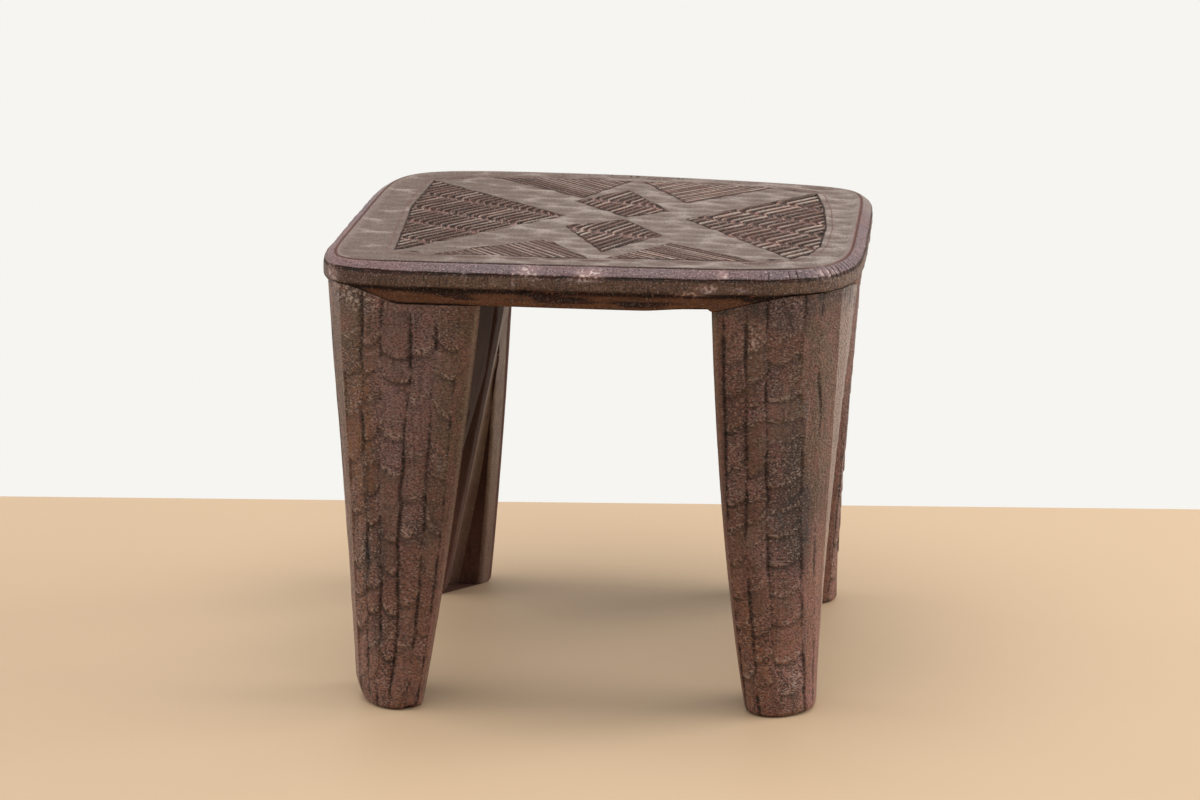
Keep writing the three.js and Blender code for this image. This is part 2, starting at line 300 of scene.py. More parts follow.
def make_wooden_piece(name, points, faces, marks, wood, node):
    """A mesh from points in millimetres, with its surface marks as attributes, standing for a solid."""
    mesh = bpy.data.meshes.new(name)
    mesh.from_pydata((np.asarray(points) * METRES).tolist(), [], faces)
    for mark, values in marks.items():
        layer = mesh.attributes.new(mark, "FLOAT", "POINT")
        layer.data.foreach_set("value", np.asarray(values, np.float32))
    mesh.shade_smooth()
    mesh.set_sharp_from_angle(angle=math.radians(50))
    mesh.materials.append(wood)
    mesh.update()
    piece = bpy.data.objects.new(name, mesh)
    bpy.context.scene.collection.objects.link(piece)
    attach(piece, "root")
    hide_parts(node)
    return piece


# The seat's outline


def seat_edge(x_share, y_share):
    """The superellipse whose corners differ, with a rear edge that runs in towards the right."""
    in_front = y_share < 0
    at_left = x_share < 0
    power = np.where(
        in_front,
        np.where(at_left, CORNER_POWER["front_left"], CORNER_POWER["front_right"]),
        np.where(at_left, CORNER_POWER["rear_left"], CORNER_POWER["rear_right"]),
    )
    x = np.sign(x_share) * np.abs(x_share) ** (2 / power) * SEAT_WIDTH / 2
    y = np.sign(y_share) * np.abs(y_share) ** (2 / power) * SEAT_DEPTH / 2
    share = (0.5 + x / SEAT_WIDTH) ** 2
    y = np.where(y > 0, y - REAR_PULL_IN * share * (2 * y / SEAT_DEPTH) ** 2, y)
    return x, np.where(y > 0, y * SEAT_DEPTH / 2 / y.max(), y)


def seat_outline(stations):
    """Points and inward normals of the outline at distances along it, and its whole length.

    It runs counter-clockwise from above and starts at the middle of the right side.
    """
    fine = 8000
    angle = (np.arange(fine) + 0.5) / fine * 2 * math.pi
    x, y = seat_edge(np.cos(angle), np.sin(angle))
    x = np.append(x, x[0])
    y = np.append(y, y[0])
    length = np.append(0, np.cumsum(np.hypot(np.diff(x), np.diff(y))))
    total = length[-1]

    def at(distance):
        distance = distance % total
        return np.column_stack([np.interp(distance, length, x), np.interp(distance, length, y)])

    reach = 3
    along = at(stations + reach) - at(stations - reach)
    along /= np.linalg.norm(along, axis=1)[:, None]
    inward = np.column_stack([-along[:, 1], along[:, 0]])
    return at(stations), inward, total


# Knife ticks along the bevel are further apart, and plainer, on the right
TICK_SPACING = (1.9, 3.9)
TICK_SPACING_ON_RIGHT = (3.4, 4.8)
TICK_HALF_WIDTH = 0.14  # as a share of the way to the next


def cut_stations():
    """Distances round the seat's edge: at each knife tick, beside it, and between ticks."""
    rng = np.random.default_rng(41)
    total = seat_outline(np.array([0.0]))[2]
    ticks = []
    distance = 0.0
    while distance < total - TICK_SPACING_ON_RIGHT[0]:
        ticks.append(distance)
        on_right = distance < 120 or distance > total - 190
        distance += rng.uniform(*(TICK_SPACING_ON_RIGHT if on_right else TICK_SPACING))
    stations = []
    strength = []
    for tick, after in zip(ticks, ticks[1:] + [total]):
        depth = rng.uniform(0.15, 1.0)
        half_width = TICK_HALF_WIDTH * (after - tick)
        stations += [tick, tick + half_width, (tick + after) / 2, after - half_width]
        strength += [depth, 0, 0, 0]
    return np.array(stations), np.array(strength)


def leg_corner(leg, z):
    """Where the two sides of a leg's outer face would meet, at one height."""
    share = 1 - max(z / UNDERSIDE_Z, 0) ** leg["flare"]
    return np.array(
        [
            leg["side"] * (SEAT_WIDTH / 2 - leg["side_setback"] - leg["side_lean"] * share),
            leg["end"] * (SEAT_DEPTH / 2 - leg["end_setback"] - leg["end_lean"] * share),
        ]
    )


def arch_height(leg, x, y):
    """The height of the arched line over a leg, which climbs along the seat's diagonal."""
    corner = leg_corner(leg, UNDERSIDE_Z)
    outward = np.array([leg["side"], leg["end"]]) / math.sqrt(2)
    along = (x - corner[0]) * outward[0] + (y - corner[1]) * outward[1]
    share = np.clip((along + leg["arch_start"]) / leg["arch_run"], 0, 1)
    return UNDERSIDE_Z + share * (ARCH_TOP_Z - UNDERSIDE_Z)


def arches(x, y):
    return np.max([arch_height(leg, x, y) for leg in LEGS], axis=0)


def top_warp(x, y):
    """The old seat isn't quite flat: its rear left stands a little higher than its rear right."""
    behind = smooth_step(y, -120, 130)
    return -1.0 + behind * np.where(x < 0, 0.9 - 0.4 * x / SEAT_WIDTH, 0.9 - 4.6 * x / SEAT_WIDTH)


# The carved field. Each panel is cut with strokes between long ridges. Angles are from +X, in degrees.
# The ridges bend into short slanting strokes at the joints, which lie along rows. The panels' corners are
# placed by how far in they lie from the seat's four edges, or from the middle of the cross of bands.


def left(distance):
    return -SEAT_WIDTH / 2 + distance


def right(distance):
    return SEAT_WIDTH / 2 - distance


def front(distance):
    return -SEAT_DEPTH / 2 + distance


def rear(distance):
    return SEAT_DEPTH / 2 - distance


CROSS_X = 8
CROSS_Y = 3
BORDER_GAP = 3.4

# The pitch is from one ridge to the next, and the crest and the valley are how wide these are. The panels
# at the two sides have a pitch each.
COARSE = {
    "row_angle": -30,
    "stroke": 52,
    "turn": 106,
    "joint_width": 5,
    "crest": 0.8,
    "valley": 2.7,
    "depth": 2.0,
}
DIAMOND = {
    "row_angle": -22,
    "stroke": 63,
    "turn": 100,
    "joint_width": 6,
    "pitch": 5.2,
    "crest": 1.0,
    "valley": 2.2,
    "depth": 1.5,
}
FINE = {"pitch": 3.5, "crest": 0.8, "valley": 1.1, "depth": 0.8}
RIDGE_BELOW_FIELD = 0.14  # as a share of the panel's depth

# How far apart points lie: along a stroke, round a panel, round a nick, on the border line, on the bands
# and on the underside
STROKE_STEP = 1.35
PANEL_STEP = 1.5
NICK_STEP = 1.2
LINE_STEP = 1.7
BAND_STEP = 2.2
UNDERSIDE_STEP = 4.0


def sunk_panel(corners, strokes, joints=()):
    return {"corners": counter_clockwise(corners), "joints": joints, **strokes}


def straight(stroke, pitch=FINE["pitch"]):
    """The strokes of a panel whose rows lie square to them."""
    return {**FINE, "pitch": pitch, "stroke": stroke, "row_angle": stroke - 90}


def sunk_panels():
    """A broad triangle at each side, two diamonds and four flat triangles, with bands between them."""
    x, y = CROSS_X, CROSS_Y
    return [
        sunk_panel(
            [(left(32.5), rear(37)), (left(31), y + 20), (left(41), front(38)), (x - 34, y + 3)],
            {**COARSE, "pitch": 5.4},
            (-110, -73, -42, -9),
        ),
        sunk_panel(
            [
                (x + 36, y + 3),
                (right(41), front(43)),
                (right(32), front(54)),
                (right(26), front(76)),
                (right(25), y - 6),
                (right(29), y + 50),
                (right(36), rear(40)),
            ],
            {**COARSE, "pitch": 6.4},
            (7, 39, 67, 102),
        ),
        sunk_panel([(x - 5, y + 81), (x - 34, y + 44), (x + 1, y + 2), (x + 25, y + 23)], DIAMOND, (44,)),
        sunk_panel([(x + 1, y - 3), (x - 32, y - 25), (x - 3, y - 91), (x + 27, y - 43)], DIAMOND, (-34,)),
        sunk_panel([(left(66), rear(24)), (x - 30, y + 53), (x - 5, rear(26))], straight(134)),
        sunk_panel([(x, rear(26)), (x + 33, y + 47), (right(62), rear(30))], straight(48)),
        sunk_panel([(left(62), front(32)), (x - 8, front(30)), (x - 38, y - 61)], straight(130, 3.9)),
        sunk_panel([(x + 1, front(33)), (right(58), front(34)), (x + 34, y - 62)], straight(141)),
    ]


def counter_clockwise(corners):
    """The corners as an array, turned round if they run the other way."""
    corners = np.array(corners, float)
    after = np.roll(corners, -1, axis=0)
    area = np.sum(corners[:, 0] * after[:, 1] - after[:, 0] * corners[:, 1])
    return corners if area > 0 else corners[::-1]


def depth_inside(corners, x, y):
    """How far each point lies inside the panel's nearest side, below 0 outside it."""
    nearest = np.full(len(x), 1e9)
    for here, after in zip(corners, np.roll(corners, -1, axis=0)):
        side = (after - here) / np.linalg.norm(after - here)
        nearest = np.minimum(nearest, side[0] * (y - here[1]) - side[1] * (x - here[0]))
    return nearest


def depth_inside_outline(loop, x, y):
    """How far each point lies inside a loop that is convex, or nearly so."""
    enough = 160
    step = max(len(loop) // enough, 1)
    return depth_inside(loop[::step], x, y)


def inset_corners(corners, distance):
    """The panel's corners moved in from its sides."""
    moved = []
    for before, here, after in zip(np.roll(corners, 1, axis=0), corners, np.roll(corners, -1, axis=0)):
        coming = (here - before) / np.linalg.norm(here - before)
        going = (after - here) / np.linalg.norm(after - here)
        normal_in = np.array([-coming[1], coming[0]])
        normal_out = np.array([-going[1], going[0]])
        moved.append(here + distance * (normal_in + normal_out) / (1 + normal_in @ normal_out))
    return np.array(moved)


def panel_loop(corners, inset, spacing, wobble, seed):
    """Points round a panel's side, inset from it, with the small waver of a line cut by hand."""
    inner = inset_corners(corners, inset)
    points = []
    for here, after in zip(inner, np.roll(inner, -1, axis=0)):
        count = max(int(np.linalg.norm(after - here) / spacing), 3)
        for share in np.arange(count) / count:
            points.append(here + (after - here) * share)
    points = np.array(points)
    points[:, 0] += wobble * flat_wander(points[:, 0], points[:, 1], 9, seed)
    points[:, 1] += wobble * flat_wander(points[:, 0], points[:, 1], 9, seed + 1)
    return points


def ridge_course(panel, place):
    """How far a ridge has moved along its row, at a place across the rows."""
    across = panel["row_angle"] + 90
    slope = math.tan(math.radians(across - panel["stroke"]))
    course = slope * place
    for joint in panel["joints"]:
        width = panel["joint_width"]
        turned = np.clip(place - joint + width / 2, 0, width)
        course = course + (math.tan(math.radians(across - panel["turn"])) - slope) * turned
    return course


def panel_strokes(panel, seed):
    """Points along the crests and valleys of a panel's ridges, with each point's depth and marks."""
    rng = np.random.default_rng(seed)
    corners = panel["corners"]
    angle = math.radians(panel["row_angle"])
    row = np.array([math.cos(angle), math.sin(angle)])
    up = np.array([-row[1], row[0]])
    t = np.arange((corners @ up).min(), (corners @ up).max(), STROKE_STEP)
    course = ridge_course(panel, t)
    first = math.floor(((corners @ row).min() - course.max()) / panel["pitch"])
    last = math.ceil(((corners @ row).max() - course.min()) / panel["pitch"])
    spots = []
    for k in range(first, last + 1):
        shift = rng.uniform(-0.3, 0.3)
        sink = rng.uniform(0, 0.3)
        half_crest = panel["crest"] / 2 + rng.uniform(-0.15, 0.15)
        half_valley = panel["valley"] / 2
        worn = 0.65 + 0.35 * rng.uniform(-1, 1) + 0.5 * flat_wander(t, t * 0 + 30 * k, 16, seed + 6)
        lines = (
            (-half_crest, 0),
            (half_crest, 0),
            (panel["pitch"] / 2 - half_valley, 1),
            (panel["pitch"] / 2 + half_valley, 1),
        )
        for offset, low in lines:
            s = k * panel["pitch"] + shift * (1 - low) + offset + course
            waver = flat_wander(t + 70 * k, s, 7, seed + 5)
            s = s + 0.25 * waver
            x = s * row[0] + t * up[0]
            y = s * row[1] + t * up[1]
            joint = np.zeros(len(t))
            for place in panel["joints"]:
                joint = np.maximum(joint, bump_at(t - place, panel["joint_width"] * 0.6))
            depth = panel["depth"] * (low * (1 - RIDGE_BELOW_FIELD) + RIDGE_BELOW_FIELD) + sink * (1 - low)
            depth = depth + 0.16 * panel["depth"] * waver * low
            depth = depth + joint * (0.4 * (1 - low) - 0.1 * depth * low)
            # Pale crests, partly worn and partly a painted highlight, fainter at the joints and towards the
            # left
            crest = (1 - low) * (worn - 0.4 * joint).clip(0, 1) * (0.8 + 0.2 * smooth_step(x, -60, 60))
            columns = (x, y, depth, t * 0 + low, joint, crest)
            spots.append(np.column_stack(columns)[depth_inside(corners, x, y) > 1.2])
    return np.concatenate(spots)


def evened(loop, spacing):
    """The same closed loop with its points an even distance apart."""
    closed = np.vstack([loop, loop[:1]])
    length = np.append(0, np.cumsum(np.linalg.norm(np.diff(closed, axis=0), axis=1)))
    places = np.linspace(0, length[-1], int(length[-1] / spacing), endpoint=False)
    return np.column_stack([np.interp(places, length, closed[:, i]) for i in (0, 1)])


def border_line(gap):
    """The line round all the panels, a gap outside them, with rounded corners."""
    corners = np.concatenate([panel["corners"] for panel in sunk_panels()])
    order = corners[np.lexsort((corners[:, 1], corners[:, 0]))].tolist()
    hull = []
    for sweep in (order, order[::-1]):
        chain = []
        for p in sweep:
            while len(chain) > 1:
                (ax, ay), (bx, by) = chain[-2], chain[-1]
                if (bx - ax) * (p[1] - ay) - (by - ay) * (p[0] - ax) > 0:
                    break
                chain.pop()
            chain.append(p)
        hull += chain[:-1]
    loop = []
    sharp = inset_corners(np.array(hull), -gap)
    for before, here, after in zip(np.roll(sharp, 1, axis=0), sharp, np.roll(sharp, -1, axis=0)):
        room = min(np.linalg.norm(before - here), np.linalg.norm(after - here))
        back, on = ((p - here) / np.linalg.norm(p - here) for p in (before, after))
        cut = min(9, 0.45 * room) if back @ on < -0.5 else 4
        for share in (1, 0.64, 0.36, 0.16, 0.04, 0):
            other = (1 - math.sqrt(share)) ** 2
            loop.append(here + cut * (back * share + on * other))
    return evened(np.array(loop), LINE_STEP)


def nicks():
    """The small triangular nicks where the smooth bands end between two panels."""
    ends = (
        ((left(32.5), rear(37)), (left(66), rear(24))),
        ((left(41), front(38)), (left(62), front(32))),
        ((right(58), front(34)), (right(41), front(43))),
        ((right(36), rear(40)), (right(62), rear(30))),
    )
    for first, second in ends:
        first, second = np.array(first), np.array(second)
        middle = (first + second) / 2
        half = 0.24 * (second - first)
        inward = -middle / np.linalg.norm(middle)
        yield counter_clockwise([middle - half, middle + half, middle + 4.5 * inward])


def carved_field(edge):
    """The seat's top inside a ring of points: smooth bands, sunk panels of strokes and small nicks.

    Gives its points, which start with the ring's own, its faces and its marks.
    """
    names = ("depth", "valley", "joint", "crest", "band", "line")
    edge_points = edge[:, :2]
    points = [edge_points]
    values = {name: [np.zeros(len(edge_points))] for name in names}
    values["band"][0] += 0.4
    edges = closed_loop(len(edge_points))
    outlines = []

    def include(new, closed=False, **marks):
        """Takes in points that share these marks, and where they are closed, the loop round them."""
        start = sum(len(p) for p in points)
        if closed:
            edges.extend(closed_loop(len(new), start))
        points.append(new)
        for name in names:
            values[name].append(np.broadcast_to(np.asarray(marks.get(name, 0.0), float), (len(new),)))

    for number, panel in enumerate(sunk_panels()):
        corners = panel["corners"]
        outlines.append(corners)
        seed = 100 + 10 * number
        brink = panel_loop(corners, 0, PANEL_STEP, 0.3, seed)
        include(brink, True, depth=0.1, valley=0.1, band=0.8)
        wall_foot = panel_loop(corners, 0.7, PANEL_STEP, 0.3, seed)
        include(wall_foot, True, depth=0.85 * panel["depth"], valley=1.0)
        x, y, depth, valley, joint, crest = panel_strokes(panel, seed).T
        fine = 0.5 if panel["depth"] < 1 else 1.0
        include(np.column_stack([x, y]), depth=depth, valley=valley * fine, joint=joint, crest=crest)
    line = border_line(BORDER_GAP)
    for step, low in ((-0.5, 0), (0, 1), (0.5, 0)):
        include(border_line(BORDER_GAP + step), True, depth=0.4 * low, line=0.2 + 0.8 * low, band=1.0 - low)
    for corners in nicks():
        outlines.append(corners)
        include(panel_loop(corners, 0, NICK_STEP, 0.05, 7), True, depth=0.05, valley=0.3, band=0.5)
        include(corners.mean(axis=0)[None, :], depth=1.2, valley=1.0)

    grid_x, grid_y = np.meshgrid(np.arange(-144, 144, BAND_STEP), np.arange(-128, 128, BAND_STEP))
    grid_x = grid_x.ravel() + 0.5 * flat_wander(grid_x.ravel(), grid_y.ravel(), 3, 61)
    grid_y = grid_y.ravel() + 0.5 * flat_wander(grid_x, grid_y.ravel(), 3, 62)
    keep = depth_inside_outline(edge_points, grid_x, grid_y) > 1.6
    keep &= np.abs(depth_inside(line, grid_x, grid_y)) > 1.3
    for corners in outlines:
        keep &= depth_inside(corners, grid_x, grid_y) < -1.0
    include(np.column_stack([grid_x[keep], grid_y[keep]]), band=1.0)

    flat = np.concatenate(points)
    marks = {name: np.concatenate(rows) for name, rows in values.items()}
    x, y = flat[:, 0], flat[:, 1]
    band = marks["band"]
    cuts = scallops(x * 0.55 + y * 0.35, y * 1.0 - x * 0.1, 12, 17)
    dents = np.maximum(flat_wander(x, y, 11, 23) - 0.15, 0) * 0.5
    right_border = smooth_step(x, 124, 129) * (y > -85)
    left_border = smooth_step(-x, 120, 126)
    slats = scallops(x * 0.12, y, 4.6, 77) * right_border
    slats = slats + scallops(x * 0.3, y + 0.8 * x, 6.5, 78) * left_border
    z = FIELD_Z + top_warp(x, y) - marks.pop("depth") + (0.95 * cuts - 0.95 - dents) * band
    z = z + 0.3 * (slats - right_border - left_border) * band
    z[: len(edge_points)] = edge[:, 2]
    z = np.minimum(z, STOOL_HEIGHT - 0.05)
    # Painted light on the ridges of the gouged bands and painted shade in their dips, darker still over the
    # seat's left
    marks["ridge"] = np.clip(cuts - 0.35 + 0.5 * (slats > 0.75), 0, 1) * band
    marks["dip"] = np.clip(1.1 - 1.6 * cuts + 0.9 * smooth_step(-x, 20, 120) - 0.5 * slats, 0, 1) * band
    return np.column_stack([flat, z]), filled(flat, edges), marks


# Small damage on the seat's front edge: where it lies along X and up Z, how far it reaches each way from
# there, and how strongly it shows
DUSTY_CHIPS = (
    (4, 259.5, 6, 2.0, 1.0),
    (2, 257.6, 7, 1.2, 0.9),
    (-31, 260, 5, 2.2, 0.7),
    (77, 261, 2, 1.2, 1.0),
    (134, 260, 5, 2.0, 0.55),
    (68, 253.2, 4.5, 1.8, 1.0),
    (59, 249.2, 5, 1.1, 1.0),
    (87, 253, 4, 0.9, 0.8),
    (-39, 254.5, 0.7, 4.5, 1.0),
    (-66, 254.5, 0.7, 4, 0.6),
    (-28, 256.8, 3, 1.0, 0.7),
    (-143, 254, 3, 4, 0.6),
)
REDDISH_CHIPS = (
    (-32, 248.4, 4, 1.2, 1.0),
    (-18, 248.0, 3, 1.2, 1.0),
    (57, 247, 3, 1.0, 0.8),
    (94, 247.5, 2, 1, 0.7),
)


def chipped(chips, x, y, z):
    """How far each point lies in one of the chips of the front edge."""
    found = np.zeros(len(x))
    for chip_x, chip_z, half_wide, half_high, amount in chips:
        spot = bump_at((x - chip_x) / half_wide, 1) * bump_at((z - chip_z) / half_high, 1)
        found = np.maximum(found, amount * np.clip(2 * spot, 0, 1))
    return found * (y < -60)


def belly_lift(x, y):
    """How much higher the belly was hewn near the right front leg, where it turns down in a round."""
    rise = 2.2 * smooth_step(x, 30, 66) * (1 - smooth_step(x, 67, 71))
    return rise * (1 - smooth_step(y, -120, -96))


# Heights on the seat's edge: the middle of the belly, the hollow under the rim, the rim's middle and
# top, the dark line under the bevel, and where the bevel and the seat's top start
BELLY_MIDDLE_Z = 242.5
RIM_HOLLOW_Z = 248.2
RIM_MIDDLE_Z = 253
RIM_UPPER_Z = 258
BEVEL_LINE_Z = 258.4
BEVEL_FROM_Z = 259
TOP_FROM_Z = 262

# The groove round the top, as distances in from the outline
GROOVE_FROM = 8.5
GROOVE_TO = 10.8

# Rings of the seat's edge from the underside up and over to the carved field: the distance in from the
# outline, the height, how strongly knife ticks show, and how far the ring lies in a shadowed hollow,
# whose shade is painted into its colour
SEAT_SECTION = (
    (6.4, 238.0, 0.0, 0.4),
    (4.7, 238.6, 0.0, 0.2),
    (3.5, 239.9, 0.0, 0.1),
    (2.9, 241.4, 0.0, 0.0),
    (2.7, 242.9, 0.0, 0.0),
    (2.6, 244.4, 0.0, 0.0),
    (2.7, 246.0, 0.0, 0.1),
    (3.0, 247.4, 0.0, 0.6),
    (3.2, 248.3, 0.0, 1.0),
    (2.2, 248.75, 0.0, 1.0),
    (0.7, 249.2, 0.0, 0.6),
    (0.25, 250.0, 0.1, 0.1),
    (0.2, 251.6, 0.1, 0.0),
    (0.2, 253.2, 0.1, 0.0),
    (0.2, 254.9, 0.2, 0.0),
    (0.25, 256.5, 0.4, 0.1),
    (0.5, 257.6, 0.7, 0.7),
    (1.0, 258.2, 0.9, 1.0),
    (0.8, 258.7, 1.0, 0.7),
    (1.2, 259.3, 1.0, 0.1),
    (2.3, 260.2, 1.0, 0.0),
    (3.7, 261.1, 1.0, 0.0),
    (5.2, 261.9, 1.0, 0.0),
    (6.5, 262.5, 0.8, 0.0),
    (7.6, 262.9, 0.5, 0.0),
    (8.4, 262.95, 0.2, 0.3),
    (9.0, 262.3, 0.0, 1.0),
    (9.9, 262.2, 0.0, 1.0),
    (10.5, 263.0, 0.0, 0.9),
    (11.0, 263.4, 0.0, 0.1),
    (12.2, 263.25, 0.0, 0.0),
)


def seat_edge_line():
    """The line round the seat, and what varies along it: ticks, hewn facets and which end it is."""
    stations, ticks = cut_stations()
    outline, inward, _ = seat_outline(stations)
    x, y = outline[:, 0], outline[:, 1]
    return {
        "stations": stations,
        "ticks": ticks,
        "outline": outline,
        "inward": inward,
        "facets": 0.55 * (1 - scallops(stations, stations * 0, 17, 71)).clip(0, 1),
        "at_right": smooth_step(x, 70, 140),
        "ahead": 1 - smooth_step(y, 0, 90),
        "narrow": 1 - 0.22 * smooth_step(np.abs(x), 100, 145),
    }


def belly_gouges(line, z):
    """The long slanting gouges of the belly, from -1 where they are deepest to 1."""
    stations = line["stations"]
    spots = np.column_stack([stations * 0.3 + z * 1.6, z * 2.4 - stations * 0.15, stations * 0])
    return wander(spots, 9, 9)


def seat_ring(line, inset, z, tick):
    """One ring of the seat's edge, with its ticks, facets, chips and gouges cut in."""
    x, y = line["outline"].T
    around = np.column_stack([x, y, np.full(len(x), z)])
    wobble = 0.2 + 0.25 * wander(around * (1, 1, 2.5), 14, 5)
    bite = line["ticks"] * tick * (0.12 + 0.75 * line["at_right"] * line["ahead"])
    chip = 1.2 * chipped(DUSTY_CHIPS, x, y, z) * (z < RIM_UPPER_Z)
    chip = chip + 1.5 * chipped(REDDISH_CHIPS, x, y, z)
    distance = inset * (line["narrow"] if z > 261 else 1) + 0.08 + wobble * (z < TOP_FROM_Z) + bite + chip
    distance = distance + line["facets"] * bump_at(z - RIM_MIDDLE_Z, 5)
    distance = distance + bump_at(z - BELLY_MIDDLE_Z, 4.5) * (1.1 + 1.3 * belly_gouges(line, z))
    ring = line["outline"] + line["inward"] * distance[:, None]
    ragged = 0.35 * flat_wander(x, y, 5, 33) + 0.4 * flat_wander(x, y, 17, 34)
    raised = ragged + 0.9 * smooth_step(-x, 70, 140)
    height = z - bite * 0.7 * (z > BEVEL_FROM_Z) + raised * bump_at(z - BEVEL_LINE_Z, 1.6)
    height = height + 1.7 * ragged * bump_at(z - RIM_HOLLOW_Z, 1.6)
    height = height + top_warp(ring[:, 0], ring[:, 1]) * smooth_step(z, TOP_FROM_Z - 10, TOP_FROM_Z)
    height = height + (0.5 + 0.8 * flat_wander(x, y, 45, 36)).clip(0) * bump_at(z - UNDERSIDE_Z, 3)
    height = height + belly_lift(ring[:, 0], ring[:, 1]) * np.clip((247.5 - z) / 9.5, 0, 1)
    if z < BELLY_TOP_Z:
        height = np.maximum(height, arches(ring[:, 0], ring[:, 1]) + 0.1)
    return np.column_stack([ring, np.minimum(height, STOOL_HEIGHT - 0.02)])


def seat_ring_marks(line, inset, z, tick, low):
    """How much of each mark lies round one ring of the seat's edge."""
    x, y = line["outline"].T
    ticks, at_right, ahead = line["ticks"], line["at_right"], line["ahead"]
    groove = low * (z > TOP_FROM_Z)
    hollow = low * (z < TOP_FROM_Z)
    patchy = wander(np.column_stack([x, y, np.full(len(x), z)]), 4, 12)
    crack = np.clip(-2.6 * belly_gouges(line, z) - 0.5, 0, 1) * bump_at(z - BELLY_MIDDLE_Z - 1, 4)
    tick_dark = ticks * tick * (0.25 + 0.75 * at_right) * ahead
    beside_groove = z > BEVEL_FROM_Z and inset < GROOVE_FROM
    past_groove = inset > GROOVE_TO
    at_sides = smooth_step(np.abs(x), 110, 140)
    return {
        # Painted shade in the hollows under the rim and bevel, with darker knife ticks and cracks in the
        # belly's gouges
        "valley": np.clip(hollow * (1 + 0.3 * patchy) + tick_dark + crack, 0, 1),
        # Painted shade in the groove round the top, strongest in front and faint at the sides
        "groove": groove * (1 - 0.75 * at_sides) * (0.4 + 0.6 * ahead),
        "red_groove": groove * at_sides,
        "bevel": ahead * beside_groove + 0.15 * past_groove * ahead,
        "band": 0.9 * (1 - ahead) * beside_groove + 0.85 * past_groove,
        # A pale line on the bevel at the front right, partly worn and partly a painted highlight
        "crest": at_right * ahead * bump_at(z - 261, 2) * (1 - ticks).clip(0, 1) * 0.4,
        "belly": np.full(len(x), 1.0 * (z < BELLY_TOP_Z)),
        "rim": np.full(len(x), 1.0 * (BELLY_TOP_Z < z < RIM_UPPER_Z)),
        "dust": chipped(DUSTY_CHIPS, x, y, z),
        "rose": chipped(REDDISH_CHIPS, x, y, z),
    }


def seat_underside(bottom):
    """The underside inside a ring of points: a grid of points cut by broad gouges, and the faces."""
    places_x = np.arange(-148, 148, UNDERSIDE_STEP)
    places_y = np.arange(-132, 132, UNDERSIDE_STEP)
    grid_x, grid_y = (grid.ravel() for grid in np.meshgrid(places_x, places_y))
    keep = depth_inside_outline(bottom, grid_x, grid_y) > 3
    grid_x, grid_y = grid_x[keep], grid_y[keep]
    cuts = scallops(grid_x * 0.6, grid_y, 16, 55)
    z = UNDERSIDE_Z + 0.9 * (1 - cuts).clip(0, 1) + belly_lift(grid_x, grid_y)
    z = np.maximum(z, arches(grid_x, grid_y) + 0.1)
    flat = np.concatenate([bottom, np.column_stack([grid_x, grid_y])])
    return np.column_stack([grid_x, grid_y, z]), filled(flat, closed_loop(len(bottom)))


def make_seat(wood):
    """The seat, one closed skin: underside, hewn belly, rim, ticked bevel, groove and carved field."""
    line = seat_edge_line()
    count = len(line["stations"])
    rings = [seat_ring(line, inset, z, tick) for inset, z, tick, _ in SEAT_SECTION]
    ring_marks = [seat_ring_marks(line, *row) for row in SEAT_SECTION]
    faces = walls(len(rings), count)

    top_start = (len(rings) - 1) * count
    field, field_faces, field_marks = carved_field(rings[-1])
    faces += [[top_start + i for i in face] for face in field_faces]

    under_start = top_start + len(field)
    underside, under_faces = seat_underside(rings[0][:, :2])
    for face in under_faces:
        faces.append([i if i < count else under_start + i - count for i in reversed(face)])

    body = np.concatenate(rings + [field[count:], underside])
    layers = {name: np.zeros(len(body)) for name in sorted(set(ring_marks[0]) | set(field_marks))}
    for name in ring_marks[0]:
        layers[name][: top_start + count] = np.concatenate([marks[name] for marks in ring_marks])
    for name, values in field_marks.items():
        layer = layers[name]
        layer[top_start:under_start] = np.maximum(layer[top_start:under_start], values)
    layers["belly"][under_start:] = 1.0
    return make_wooden_piece("seat_carved", body, faces, layers, wood, "seat_slab")


# The legs


def tapered(size, z):
    """A size at one height, from a pair for top and foot, a little full on the way down."""
    share = z / UNDERSIDE_Z
    return size[1] + (size[0] - size[1]) * (share + 0.1 * share * (1 - share))


def quarter(corner, before, after, radius, steps):
    """Points round a corner, from the side towards before to the side towards after."""
    corner, before, after = (np.array(p, float) for p in (corner, before, after))
    back = (before - corner) / np.linalg.norm(before - corner)
    on = (after - corner) / np.linalg.norm(after - corner)
    centre = corner + radius * (back + on)
    turn = np.linspace(0, math.pi / 2, steps)[:, None]
    return centre - radius * (on * np.cos(turn) + back * np.sin(turn))


def outer_path(leg, z):
    """The outer face from above, as distances in from the corner where its two sides would meet."""
    width = tapered(leg["width"], z)
    depth = tapered(leg["depth"], z)
    radius = tapered(leg["corner_radius"], z)
    edge = tapered((EDGE_RADIUS_TOP, EDGE_RADIUS_FOOT), z)
    return np.concatenate(
        [
            quarter((width, 0), (width, depth), (0, 0), edge, 9),
            quarter((0, 0), (width, 0), (0, depth), radius, 25),
            quarter((0, depth), (0, 0), (width, depth), edge, 9),
        ]
    )


